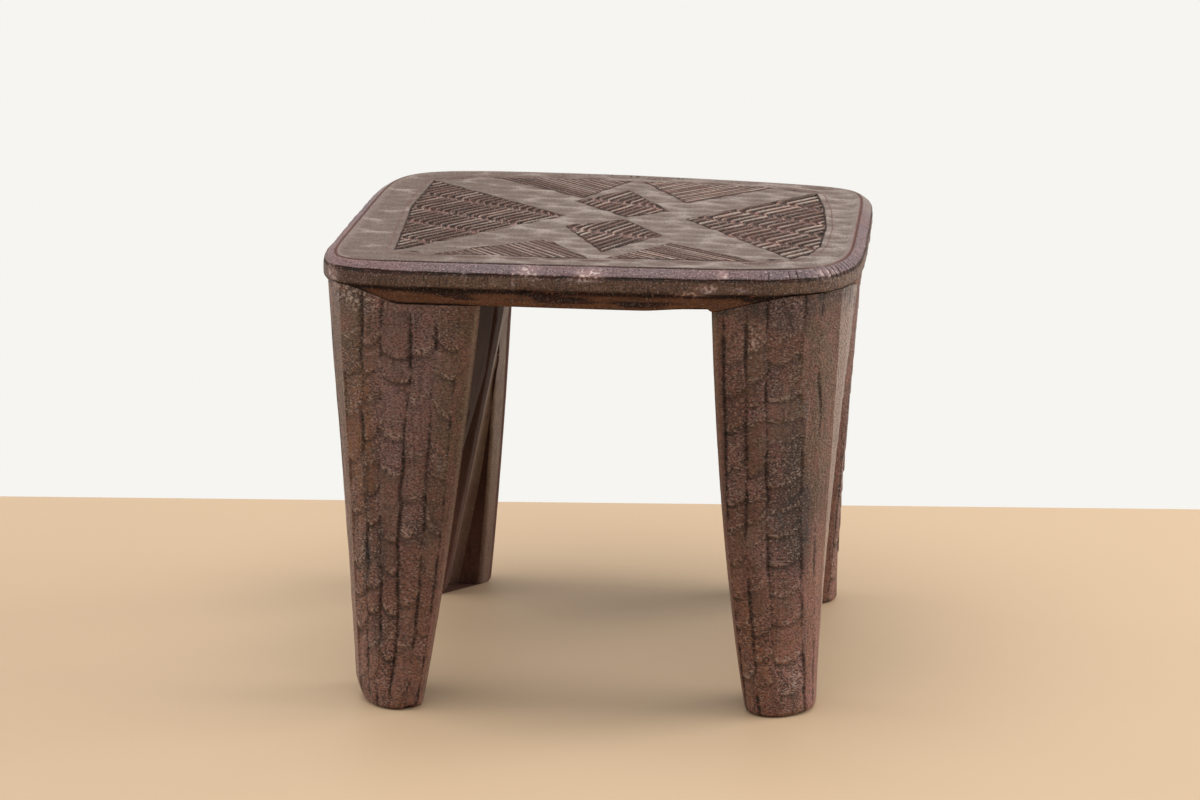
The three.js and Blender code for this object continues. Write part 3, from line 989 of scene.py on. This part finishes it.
def inner_path(leg, z):
    """The inside of the leg: across the side arm's end, in along the hollow and out along the end arm."""
    width = tapered(leg["width"], z)
    depth = tapered(leg["depth"], z)
    edge = tapered((EDGE_RADIUS_TOP, EDGE_RADIUS_FOOT), z)
    share = z / HOLLOW_HEIGHT
    widest = tapered(leg["width"], HOLLOW_HEIGHT)
    side_arm = SIDE_ARM_AT_FOOT + (widest - SIDE_ARM_AT_FOOT) * share
    end_arm = END_ARM_AT_FOOT + (END_ARM_AT_TOP - END_ARM_AT_FOOT) * min(share, 1)
    closing = smooth_step(z, HOLLOW_HEIGHT - 18, HOLLOW_HEIGHT + 4)
    side_arm = min(side_arm, width - 0.3)
    slant = leg["inner_slant"] * (1 - closing)
    arm_end = (side_arm, depth)
    nook = (side_arm, end_arm)
    lip = (width - slant, end_arm - 9 * closing)
    start = (width, edge)
    room = width - side_arm
    nook_radius = min(5, 0.3 * room)
    lip_radius = min(1.8, 0.3 * room + 0.05)
    nook_arc = quarter(nook, arm_end, lip, nook_radius, 5)
    lip_arc = quarter(lip, nook, start, lip_radius, 4)
    end_arc = quarter(arm_end, (edge, depth), nook, 2.2, 4)
    pieces = [
        np.linspace((edge, depth), end_arc[0], 5, endpoint=False)[1:],
        end_arc,
        np.linspace(end_arc[-1], nook_arc[0], 14, endpoint=False)[1:],
        nook_arc,
        np.linspace(nook_arc[-1], lip_arc[0], 12, endpoint=False)[1:],
        lip_arc,
        np.linspace(lip_arc[-1], start, 6, endpoint=False)[1:],
    ]
    return np.concatenate(pieces)


# Where points lie across a column, and the levels of the rings, which are closer at the worn foot
COLUMN_STEPS = (0.0, 0.06, 0.14, 0.3, 0.5, 0.7, 0.86, 0.94)
LEVEL_STEP = 1.25
LEVELS = [0, 0.5, 1.1, 1.9, 3.0] + list(np.arange(4.3, UNDERSIDE_Z - 0.4, LEVEL_STEP)) + [UNDERSIDE_Z]


def along_path(path, shares):
    """Points and inward normals at shares of a path's length."""
    length = np.append(0, np.cumsum(np.linalg.norm(np.diff(path, axis=0), axis=1)))
    total = length[-1]

    def at(distance):
        return np.column_stack([np.interp(distance, length, path[:, i]) for i in (0, 1)])

    distance = shares * total
    along = at(np.minimum(distance + 1.5, total)) - at(np.maximum(distance - 1.5, 0))
    along /= np.linalg.norm(along, axis=1)[:, None]
    return at(distance), np.column_stack([along[:, 1], -along[:, 0]])


MOST_BITES = 64  # in a column, after which what chance gave them repeats


def adze_marks(leg, column, across, width, z):
    """How the adze left the outer face, at a share across each column of some width, and a height.

    A column is a stack of bites. Each swells on the way down to a lip, curved like the blade, and steps
    in again. Gives the depth and, from 0 to 1, how much of each mark is there.
    """
    rng = np.random.default_rng(leg["seed"])
    columns = len(leg["cuts"]) - 1
    smooth = np.isin(column, leg["smooth"])
    height = leg["row_height"] * rng.uniform(0.7, 1.35, columns)[column]
    offset = rng.uniform(0, 1, columns)[column]
    column_tone = rng.uniform(-0.5, 0.5, columns)[column]
    slant = rng.uniform(-0.3, 0.3, columns)[column]
    spot = np.column_stack([column * 40.0 + 11, z, np.full(len(z), 7.0)])
    middle = 2 * across - 1
    climb = z / height + offset + 0.6 * wander(spot, 27, leg["seed"] + 1) + slant * middle
    climb = climb + 0.16 * (1 - middle**2)
    bite = np.floor(climb).astype(int)
    up = climb - bite
    chance = rng.uniform(-1, 1, (6, columns, MOST_BITES))
    sunk, tilt, lean, tone, force, hue = (c[column, bite % MOST_BITES] for c in chance)
    force = 0.5 + 0.5 * force
    nearest = column + (across > 0.5)
    beside = np.minimum(across, 1 - across) * width
    grooved = (nearest > 0) & (nearest < columns) & ~np.isin(nearest, leg["crisp"])
    line = np.column_stack([nearest * 40.0, z, np.full(len(z), 3.0)])
    strength = 0.62 + 1.0 * wander(line, 24, leg["seed"] + 2) + 0.6 * wander(line, 5, leg["seed"] + 3)
    strength = np.clip(strength, 0, 1.2)
    valley = bump_at(beside, 1.1) * grooved * strength
    shade = bump_at(beside, 3.6) * grooved * np.clip(strength - 0.2, 0, 1)
    fade = smooth_step(z, 2, 14) * (1 - smooth_step(z, 212, 236)) * np.where(smooth, 0.1, 1.0)
    power = fade * (0.25 + 0.75 * force)
    swell = power * (0.85 * up + 0.35 * np.clip(1 - up / 0.1, 0, 1) ** 2)
    rib = np.where(smooth, 0.03, 0.3) * np.abs(middle) ** 2.2
    depth = 0.1 + rib + 0.75 * valley + swell
    depth = depth + (0.15 * sunk + 0.5 * tilt * (across - 0.5) + 0.2 * lean * (up - 0.5)) * fade
    # The lip is paler, partly from wear and partly as a painted highlight
    lip = bump_at(up - 0.06, 0.09) * power
    tone = np.clip(0.8 * tone + column_tone, -1, 1) * np.where(smooth, 0.25, 1)
    rough = np.where(smooth, 0.3, 0.55) + 0.4 * valley + 0.4 * lip + 0.25 * hue * ~smooth
    marks = {
        "valley": np.clip(valley, 0, 1),
        # A painted shadow under each bite's lip
        "step": bump_at(up - 0.96, 0.08) * power,
        "lip": lip,
        "worn": np.clip(tone, 0, 1) * (1 - 0.4 * up),
        # Darker bites, and painted shade beside the valleys between columns
        "dim": np.clip(-tone, 0.8 * shade, 1),
        "rough": np.clip(rough, 0, 1),
        "mauve": 0.6 * np.clip(hue, 0, 1) * ~smooth,
        "olive": 0.5 * np.clip(-hue, 0, 1) * ~smooth,
        # Pale facets carry a painted highlight
        "pale": np.array([leg["pale"].get(c, 0.0) for c in column.tolist()]),
        "low": 1 - smooth_step(z, 20, 130),
        # Painted shade along the leg's top, under the seat, added to the dark stains
        "dark": bump_at(z - UNDERSIDE_Z, 9) * np.clip(0.3 + 2.2 * wander(line, 7, leg["seed"] + 5), 0, 1),
    }
    return np.maximum(depth, 0.05), marks


STAINS = ("mauve", "olive", "orange", "rose", "dark", "dust", "scuff")


def add_stains(leg, marks, place, z):
    """Adds the patches that differ in colour. Each is at a place counted in columns, and a height."""
    for kind, column, height, half_wide, half_high, amount in leg["stains"]:
        spot = bump_at((place - column) / half_wide, 1) * bump_at((z - height) / half_high, 1)
        marks[kind] = np.maximum(marks.get(kind, 0), amount * np.clip(2.2 * spot, 0, 1))


def column_cuts(leg, z):
    """Where the columns meet at one height, which wanders but stays put at the face's own edges."""
    bounds = np.arange(len(leg["cuts"]))
    free = np.sin(np.pi * bounds / bounds[-1]) * np.where(np.isin(bounds, leg["crisp"]), 0.25, 1)
    spots = np.column_stack([bounds * 37.0, np.full(len(bounds), z), np.ones(len(bounds))])
    cuts = np.array(leg["cuts"])
    cuts = cuts + leg["drift"] * (1 - z / UNDERSIDE_Z) * np.sin(math.pi * cuts) ** 2
    return cuts + (0.02 * wander(spots, 52, leg["seed"] + 4) + 0.008 * wander(spots, 11, 90)) * free


def adzed_face(leg, z, column, across):
    """The outer face at one height: its points, their inward normals and their marks."""
    path = outer_path(leg, z)
    cuts = column_cuts(leg, z)
    points, inward = along_path(path, cuts[column] + across * (cuts[column + 1] - cuts[column]))
    edges, _ = along_path(path, cuts)
    chord = edges[column] * (1 - across)[:, None] + edges[column + 1] * across[:, None]
    flat = np.where(np.isin(column, leg["smooth"]), 1.0, 0.7)
    points = points + (chord - points) * flat[:, None]
    width = np.linalg.norm(edges[1:] - edges[:-1], axis=1)[column]
    heights = np.full(len(across), float(z))
    depth, marks = adze_marks(leg, column, across, width, heights)
    add_stains(leg, marks, column + across, heights)
    return points + inward * depth[:, None], inward, marks


def leg_ring(leg, z, column, across):
    """A leg's ring of points at one height, as distances in from its corner, and their marks."""
    outer, inward, marks = adzed_face(leg, z, column, across)
    inner = inner_path(leg, z)
    ring = np.concatenate([outer, inner])
    before = np.roll(ring, 1, axis=0)
    along = np.roll(ring, -1, axis=0) - before
    along /= np.maximum(np.linalg.norm(along, axis=1), 1e-6)[:, None]
    normal = np.column_stack([along[:, 1], -along[:, 0]])
    girth = np.cumsum(np.linalg.norm(ring - before, axis=1))
    where = np.column_stack([girth, np.full(len(ring), z), np.full(len(ring), 5.0)])
    wear = 2.0 * np.clip(1 - z / 2.6, 0, 1) ** 2 * (1 + 0.5 * wander(where, 9, leg["seed"] + 6))
    hewn = 0.25 + 0.25 * wander(where * (1, 0.45, 1), 8, leg["seed"] + 7) + 0.2 * wear
    for place, half_wide, high, deep in leg["foot_chips"]:
        reach = deep * max(1 - z / high, 0) ** 1.5
        wear[: len(outer)] += reach * bump_at((column + across - place) / half_wide, 1)

    # Painted shade darkens the inside and painted light brightens its lit shares, both fading towards the
    # foot
    share = np.linspace(0, 1, len(inner))
    painted_shading_strength = 0.45 + 0.55 * smooth_step(z, 5, 110)
    lit = np.zeros(len(inner), bool)
    for start, stop in leg["lit"]:
        lit |= (share > start) & (share < stop)
    bare = np.zeros(len(outer))
    marks["inside"] = np.append(bare, np.where(lit, 0.0, painted_shading_strength))
    marks["lit"] = np.append(bare, np.where(lit, painted_shading_strength, 0.0))
    # A pale line along the face's edge, partly worn and partly a painted highlight
    marks["edge"] = bump_at(girth[: len(outer)] - girth[0] - 1.5, 1.0)
    outer = outer + inward * wear[: len(outer), None]
    inner = inner + (normal * hewn[:, None])[len(outer) :]
    return np.concatenate([outer, inner]), marks


def raised_to_arch(leg, rings):
    """Stretches the top of a leg up to the arched line that the seat leaves over it."""
    stretch_from = 205
    top = rings[-1]
    tops = np.maximum(arch_height(leg, top[:, 0], top[:, 1]) - 0.25, UNDERSIDE_Z + 0.7)
    for ring in rings:
        share = np.clip((ring[:, 2] - stretch_from) / (UNDERSIDE_Z - stretch_from), 0, 1)
        ring[:, 2] += share * (tops - UNDERSIDE_Z)


def make_leg(leg, wood):
    """A leg: a ring of points at each level, the outer face in adzed columns, hollowed inside."""
    columns = len(leg["cuts"]) - 1
    column = np.append(np.repeat(np.arange(columns), len(COLUMN_STEPS)), columns - 1)
    across = np.append(np.tile(COLUMN_STEPS, columns), 1.0)
    plans = []
    rings = []
    rows = []
    for z in LEVELS:
        plan, marks = leg_ring(leg, z, column, across)
        corner = leg_corner(leg, z)
        x = corner[0] - leg["side"] * plan[:, 0]
        y = corner[1] - leg["end"] * plan[:, 1]
        plans.append(plan)
        rings.append(np.column_stack([x, y, np.full(len(x), z)]))
        rows.append(marks)
    count = len(rings[0])
    layers = {}
    for name in sorted(set(rows[0]) | set(STAINS)):
        by_level = np.zeros((len(LEVELS), count))
        for layer, marks in zip(by_level, rows):
            values = marks.get(name, ())
            layer[: len(values)] = values
        layers[name] = np.append(by_level.ravel(), 0)
    raised_to_arch(leg, rings)
    middle = rings[-1].mean(axis=0)
    middle[2] = UNDERSIDE_Z + 0.7
    body = np.concatenate(rings + [middle[None, :]])
    faces = walls(len(LEVELS), count)
    last = (len(LEVELS) - 1) * count
    faces += [(i, j, len(body) - 1) for i, j in closed_loop(count, last)]
    faces += filled(plans[0], closed_loop(count))
    if leg["side"] * leg["end"] < 0:
        faces = [list(reversed(face)) for face in faces]
    return make_wooden_piece(leg["name"] + "_adzed", body, faces, layers, wood, leg["name"])


# Materials


def add(tree, kind, links=None, **settings):
    """A node with its settings. Each of links names an input and what feeds it: a socket, a node whose
    first output is meant, or a value."""
    node = tree.nodes.new(kind)
    for name, value in settings.items():
        setattr(node, name, value)
    for name, feed in (links or {}).items():
        if isinstance(feed, bpy.types.Node):
            feed = feed.outputs[0]
        if isinstance(feed, bpy.types.NodeSocket):
            tree.links.new(feed, node.inputs[name])
        else:
            node.inputs[name].default_value = feed
    return node


def dyed_hardwood(name, patterns, crisp, coats, dullness, relief, relief_mm):
    """Dense brown wood under coats of colour, each laid where its marks and patterns are strong.

    A pattern is noise: the size of its spots in millimetres, how much longer they are along x, y and z,
    and the noise values between which it fades in. Marks are the attributes that the meshes carry, and
    crisp ones fade in between two values. A coat, a change of roughness and a height of relief each have
    a strength and the names that limit it. The first roughness holds all over.
    """
    material = bpy.data.materials.new(name)
    material.use_nodes = True
    tree = material.node_tree
    tree.nodes.clear()
    shader = add(tree, "ShaderNodeBsdfPrincipled", {"IOR": 1.5, "Specular IOR Level": 0.4})
    add(tree, "ShaderNodeOutputMaterial", {"Surface": shader})
    place = add(tree, "ShaderNodeTexCoord").outputs["Object"]
    shares = {}
    for title, (size, stretch, fade_from, fade_to) in patterns.items():
        per_metre = [1000 / (size * s) for s in stretch]
        scaled = add(tree, "ShaderNodeMapping", {"Vector": place, "Scale": per_metre})
        noise = add(tree, "ShaderNodeTexNoise", {"Vector": scaled, "Scale": 1.0, "Detail": 2.5})
        fade = {"Value": noise, "From Min": fade_from, "From Max": fade_to}
        shares[title] = add(tree, "ShaderNodeMapRange", fade, clamp=True).outputs[0]

    def limited(strength, titles):
        """The strength times how far each of the titles is there."""
        share = strength
        for title in titles:
            if title not in shares:
                found = add(tree, "ShaderNodeAttribute", attribute_name=title).outputs["Fac"]
                if title in crisp:
                    fade_from, fade_to = crisp[title]
                    fade = {"Value": found, "From Min": fade_from, "From Max": fade_to}
                    found = add(tree, "ShaderNodeMapRange", fade, clamp=True).outputs[0]
                shares[title] = found
            both = {0: share, 1: shares[title]}
            share = add(tree, "ShaderNodeMath", both, operation="MULTIPLY", use_clamp=True)
        return share

    def summed(total, rows):
        """The total with each row's strength added where its titles are."""
        for strength, *titles in rows:
            terms = {0: limited(1.0, titles), 1: strength, 2: total}
            total = add(tree, "ShaderNodeMath", terms, operation="MULTIPLY_ADD")
        return total.outputs[0]

    colour = linear(coats[0][0])
    for hex_colour, strength, *titles in coats[1:]:
        links = {"Fac": limited(strength, titles), "Color1": colour, "Color2": linear(hex_colour)}
        colour = add(tree, "ShaderNodeMixRGB", links)
    tree.links.new(colour.outputs[0], shader.inputs["Base Color"])
    tree.links.new(summed(dullness[0], dullness[1:]), shader.inputs["Roughness"])
    height = {"Height": summed(0.0, relief), "Strength": 1.0, "Distance": relief_mm * METRES}
    bump = add(tree, "ShaderNodeBump", height)
    tree.links.new(bump.outputs["Normal"], shader.inputs["Normal"])
    return material


def adzed_leg_wood():
    """Dense hardwood, hewn with an adze and dyed dark: bites of red, mauve and olive brown, near-black
    where columns meet, rough with dark pores and pale specks of dust, and pale along some edges and bite
    lips from wear. Specks, edges and lips also carry a painted highlight, as do some facets and the lit
    shares of the inside, while the rest of the inside, a line under each bite's lip, the sides of the
    valleys and the top under the seat carry painted shade. The adze leaves it dull, with a soft sheen only
    where hands have worn it."""
    # Pores are about 0.3 mm wide in such wood and the dust in them finer. At that size neither would
    # show, so pores, specks and checks are drawn at 0.9 mm. Streaks follow the upright grain.
    patterns = {
        "broad": (34, (1, 1, 1.6), 0.38, 0.62),
        "blotches": (7, (1, 1, 1.5), 0.44, 0.62),
        "streaks": (3, (1, 1, 9), 0.5, 0.7),
        "pores": (0.95, (1.6, 1.6, 1), 0.5, 0.38),
        "specks": (0.9, (1.5, 1.5, 1), 0.52, 0.65),
        "crumbs": (2.2, (1, 1, 1), 0.48, 0.62),
        "checks": (0.9, (20, 20, 1), 0.31, 0.26),
    }
    crisp = {"valley": (0.15, 0.75), "lip": (0.1, 0.7)}
    coats = [
        ("#7c5443",),
        ("#5e3a2b", 0.9, "broad"),
        ("#8a6d64", 0.8, "worn"),
        # Darker bites, and painted shade beside the valleys
        ("#3a241b", 0.72, "dim"),
        ("#80625f", 0.75, "mauve"),
        ("#5f4a35", 0.85, "olive"),
        ("#75481f", 0.8, "orange"),
        ("#8f5f4b", 0.6, "low"),
        ("#9a6460", 0.7, "rose", "blotches"),
        ("#7f5046", 0.45, "blotches"),
        # A painted highlight on the pale facets
        ("#a8988a", 0.9, "pale"),
        ("#3a261d", 0.45, "streaks"),
        # Dark stains, and painted shade along the leg's top under the seat
        ("#262120", 0.9, "dark", "blotches"),
        ("#2c211d", 0.6, "dark"),
        ("#8d8f90", 0.7, "scuff", "crumbs"),
        # Pale specks of dust, partly a painted highlight on the rough grain
        ("#c2aa9c", 0.65, "specks", "rough"),
        ("#c4ada0", 0.75, "dust", "crumbs"),
        # Pale lips, partly worn and partly a painted highlight
        ("#b39c8d", 0.7, "lip", "crumbs"),
        ("#180e0a", 0.95, "pores", "rough"),
        ("#2a1a13", 0.35, "pores"),
        # The painted shadow under each bite's lip
        ("#21130d", 0.9, "step"),
        ("#1c110d", 0.7, "checks"),
        ("#170d09", 0.9, "valley", "crumbs"),
        ("#22140e", 0.5, "valley"),
        # The pale edge line, partly worn and partly a painted highlight
        ("#8f7b69", 0.5, "edge"),
        # Painted shade on the inside of the leg
        ("#331d11", 0.9, "inside"),
        # Painted light on the lit shares of the inside
        ("#7f6b59", 0.8, "lit"),
        ("#5e4433", 0.5, "lit", "blotches"),
    ]
    dullness = [0.52, (0.1, "broad"), (0.45, "inside"), (0.3, "valley"), (-0.3, "pale")]
    relief = [(0.4, "streaks"), (-0.7, "pores"), (0.6, "specks", "rough"), (0.5, "crumbs", "rough")]
    return dyed_hardwood("hardwood_adzed_dyed", patterns, crisp, coats, dullness, relief, 0.5)


def worn_seat_wood():
    """The same hardwood, carved and worn by sitting: bands greyed by a painted sheen, with painted light on
    their ridges and painted shade in their dips and over the seat's left, dark gouged valleys between thin
    pale crests, partly worn and partly a painted highlight, painted shade in the groove and the hollows of
    the edge, reddish dust at the joints and a mauve bevel with pale chips."""
    # As on the legs, pores and specks are drawn coarser than they are. Here the grain lies along the
    # seat's width, scratches lie across it, and upright marks are the knife's, down the rim.
    patterns = {
        "broad": (40, (1.6, 1, 1), 0.38, 0.62),
        "blotches": (8, (1.8, 1, 1), 0.42, 0.62),
        "streaks": (1.8, (9, 1, 1), 0.5, 0.7),
        "scratches": (1.3, (1, 7, 1), 0.54, 0.68),
        "pores": (0.95, (1.3, 1.3, 1), 0.46, 0.36),
        "specks": (0.9, (1.2, 1.2, 1), 0.55, 0.68),
        "crumbs": (2.4, (1, 1, 1), 0.5, 0.62),
        "facets": (9, (1, 1, 5), 0.46, 0.56),
        "upright": (1.3, (1, 1, 10), 0.56, 0.66),
    }
    crisp = {"valley": (0.05, 0.5), "crest": (0.45, 0.95)}
    coats = [
        ("#64463a",),
        ("#513629", 0.8, "broad"),
        ("#573c31", 0.7, "rim"),
        ("#80634f", 0.55, "rim", "broad"),
        ("#48301f", 0.4, "rim", "facets"),
        ("#2c1c15", 0.75, "rim", "pores"),
        ("#26170f", 0.75, "rim", "upright"),
        ("#977e72", 0.4, "rim", "specks"),
        ("#33221a", 0.45, "rim", "scratches"),
        # Painted sheen greys the bands
        ("#84736a", 0.95, "band"),
        ("#69564d", 0.7, "band", "blotches"),
        # Painted light on the ridges of the bands
        ("#a08f82", 0.75, "ridge"),
        # Painted shade in the bands' dips, darker over the seat's left
        ("#584439", 0.85, "dip"),
        ("#54433a", 0.45, "band", "scratches"),
        ("#755857", 0.9, "bevel"),
        ("#5f555c", 0.6, "bevel", "broad"),
        ("#b08c89", 0.7, "bevel", "specks"),
        ("#493333", 0.6, "bevel", "pores"),
        ("#513939", 0.5, "bevel", "streaks"),
        ("#6b4126", 0.9, "belly"),
        ("#6f4424", 0.6, "belly", "blotches"),
        ("#26150d", 0.5, "belly", "streaks"),
        # Dark valleys of the carving, and painted shade in the hollows of the edge
        ("#1d110c", 0.94, "valley"),
        ("#4c261b", 0.55, "valley", "blotches"),
        # Pale crests, partly worn and partly a painted highlight
        ("#a79688", 1.0, "crest"),
        ("#93614f", 0.5, "crest", "blotches"),
        ("#b57f70", 0.6, "joint", "crumbs"),
        ("#e0c4ba", 0.7, "joint", "specks"),
        ("#5c3329", 0.8, "line"),
        # Painted shade in the groove
        ("#2b1713", 0.9, "groove"),
        ("#633b30", 0.85, "red_groove"),
        ("#33231c", 0.5, "pores"),
        ("#b3a092", 0.3, "specks"),
        ("#dcc8bf", 0.95, "dust", "crumbs"),
        ("#c79f98", 0.3, "dust"),
        ("#a8705c", 0.9, "rose", "crumbs"),
    ]
    dullness = [0.6, (-0.14, "band"), (0.14, "dip"), (0.3, "valley"), (0.3, "groove"), (0.15, "belly")]
    relief = [(0.5, "streaks"), (-0.6, "pores"), (0.7, "specks"), (0.4, "blotches")]
    return dyed_hardwood("hardwood_carved_worn", patterns, crisp, coats, dullness, relief, 0.35)


# The stage, in metres


def make_floor():
    """A plain pale table top, whose rear edge shows behind the stool. It lies just under the feet, so
    that the two don't flicker where they meet."""
    mesh = bpy.data.meshes.new("floor")
    half_long, front_edge, rear_edge_left, rear_edge_right = 4, -3, -0.03, 0.62
    z = -0.0002
    corners = [
        (-half_long, front_edge, z),
        (half_long, front_edge, z),
        (half_long, rear_edge_right, z),
        (-half_long, rear_edge_left, z),
    ]
    mesh.from_pydata(corners, [], [(0, 1, 2, 3)])
    floor = bpy.data.objects.new("floor", mesh)
    bpy.context.scene.collection.objects.link(floor)
    material = bpy.data.materials.new("pale_table_top")
    material.use_nodes = True
    shader = material.node_tree.nodes["Principled BSDF"]
    shader.inputs["Base Color"].default_value = linear("#c4a887")
    shader.inputs["Roughness"].default_value = 0.6
    mesh.materials.append(material)


def make_world():
    """An even pale surround. The camera and reflections see it as a white wall, at a strength of 1."""
    world = bpy.data.worlds.new("pale_wall")
    bpy.context.scene.world = world
    world.use_nodes = True
    tree = world.node_tree
    tree.nodes.clear()
    path = add(tree, "ShaderNodeLightPath")
    rays = [path.outputs[name] for name in ("Is Camera Ray", "Is Glossy Ray", "Is Transmission Ray")]
    seen = add(tree, "ShaderNodeMath", {0: rays[0], 1: rays[1]}, operation="MAXIMUM")
    seen = add(tree, "ShaderNodeMath", {0: seen, 1: rays[2]}, operation="MAXIMUM")
    shades = {"Fac": seen, "Color1": linear("#e6e8ec"), "Color2": linear("#f6f5f1")}
    colour = add(tree, "ShaderNodeMixRGB", shades)
    strength = add(tree, "ShaderNodeMapRange", {"Value": seen, "To Min": 0.42, "To Max": 1.0})
    glow = add(tree, "ShaderNodeBackground", {"Color": colour, "Strength": strength})
    add(tree, "ShaderNodeOutputWorld", {"Surface": glow})


def add_softbox(name, place, aim, size, power):
    lamp = bpy.data.lights.new(name, "AREA")
    lamp.shape = "RECTANGLE"
    lamp.size, lamp.size_y = size
    lamp.energy = power
    softbox = bpy.data.objects.new(name, lamp)
    softbox.location = place
    softbox.rotation_euler = (Vector(aim) - Vector(place)).to_track_quat("-Z", "Y").to_euler()
    bpy.context.scene.collection.objects.link(softbox)


def make_lights():
    """Broad soft light from both sides and above, a little stronger from the right."""
    middle = (0, 0, 0.15)
    add_softbox("softbox_right", (1.8, 0.3, 0.9), middle, (1.4, 1.2), 34)
    add_softbox("softbox_left", (-1.8, 0.1, 0.9), middle, (1.4, 1.2), 16)
    add_softbox("softbox_above", (-0.1, -0.2, 1.9), middle, (1.6, 1.6), 26)


def make_camera():
    """The photograph's viewpoint: a long lens, a little above the seat and to its right."""
    data = bpy.data.cameras.new("camera")
    data.sensor_width = 36
    data.lens = 103.53
    eye = Vector((0.2153, -1.96855, 0.6830))
    yaw, pitch, roll = 0.1117, 0.262, 0.002
    forward = Vector((-math.sin(yaw) * math.cos(pitch), math.cos(yaw) * math.cos(pitch), -math.sin(pitch)))
    level = Vector((math.cos(yaw), math.sin(yaw), 0))
    upright = level.cross(forward)
    across = level * math.cos(roll) + upright * math.sin(roll)
    up = upright * math.cos(roll) - level * math.sin(roll)
    camera = bpy.data.objects.new("camera", data)
    camera.matrix_world = Matrix(
        (
            (across.x, up.x, -forward.x, eye.x),
            (across.y, up.y, -forward.y, eye.y),
            (across.z, up.z, -forward.z, eye.z),
            (0, 0, 0, 1),
        )
    )
    bpy.context.scene.collection.objects.link(camera)
    bpy.context.scene.camera = camera


bpy.context.scene.view_settings.view_transform = "Standard"
make_camera()
make_world()
make_lights()
make_floor()
make_seat(worn_seat_wood())
leg_wood = adzed_leg_wood()
for leg in LEGS:
    make_leg(leg, leg_wood)
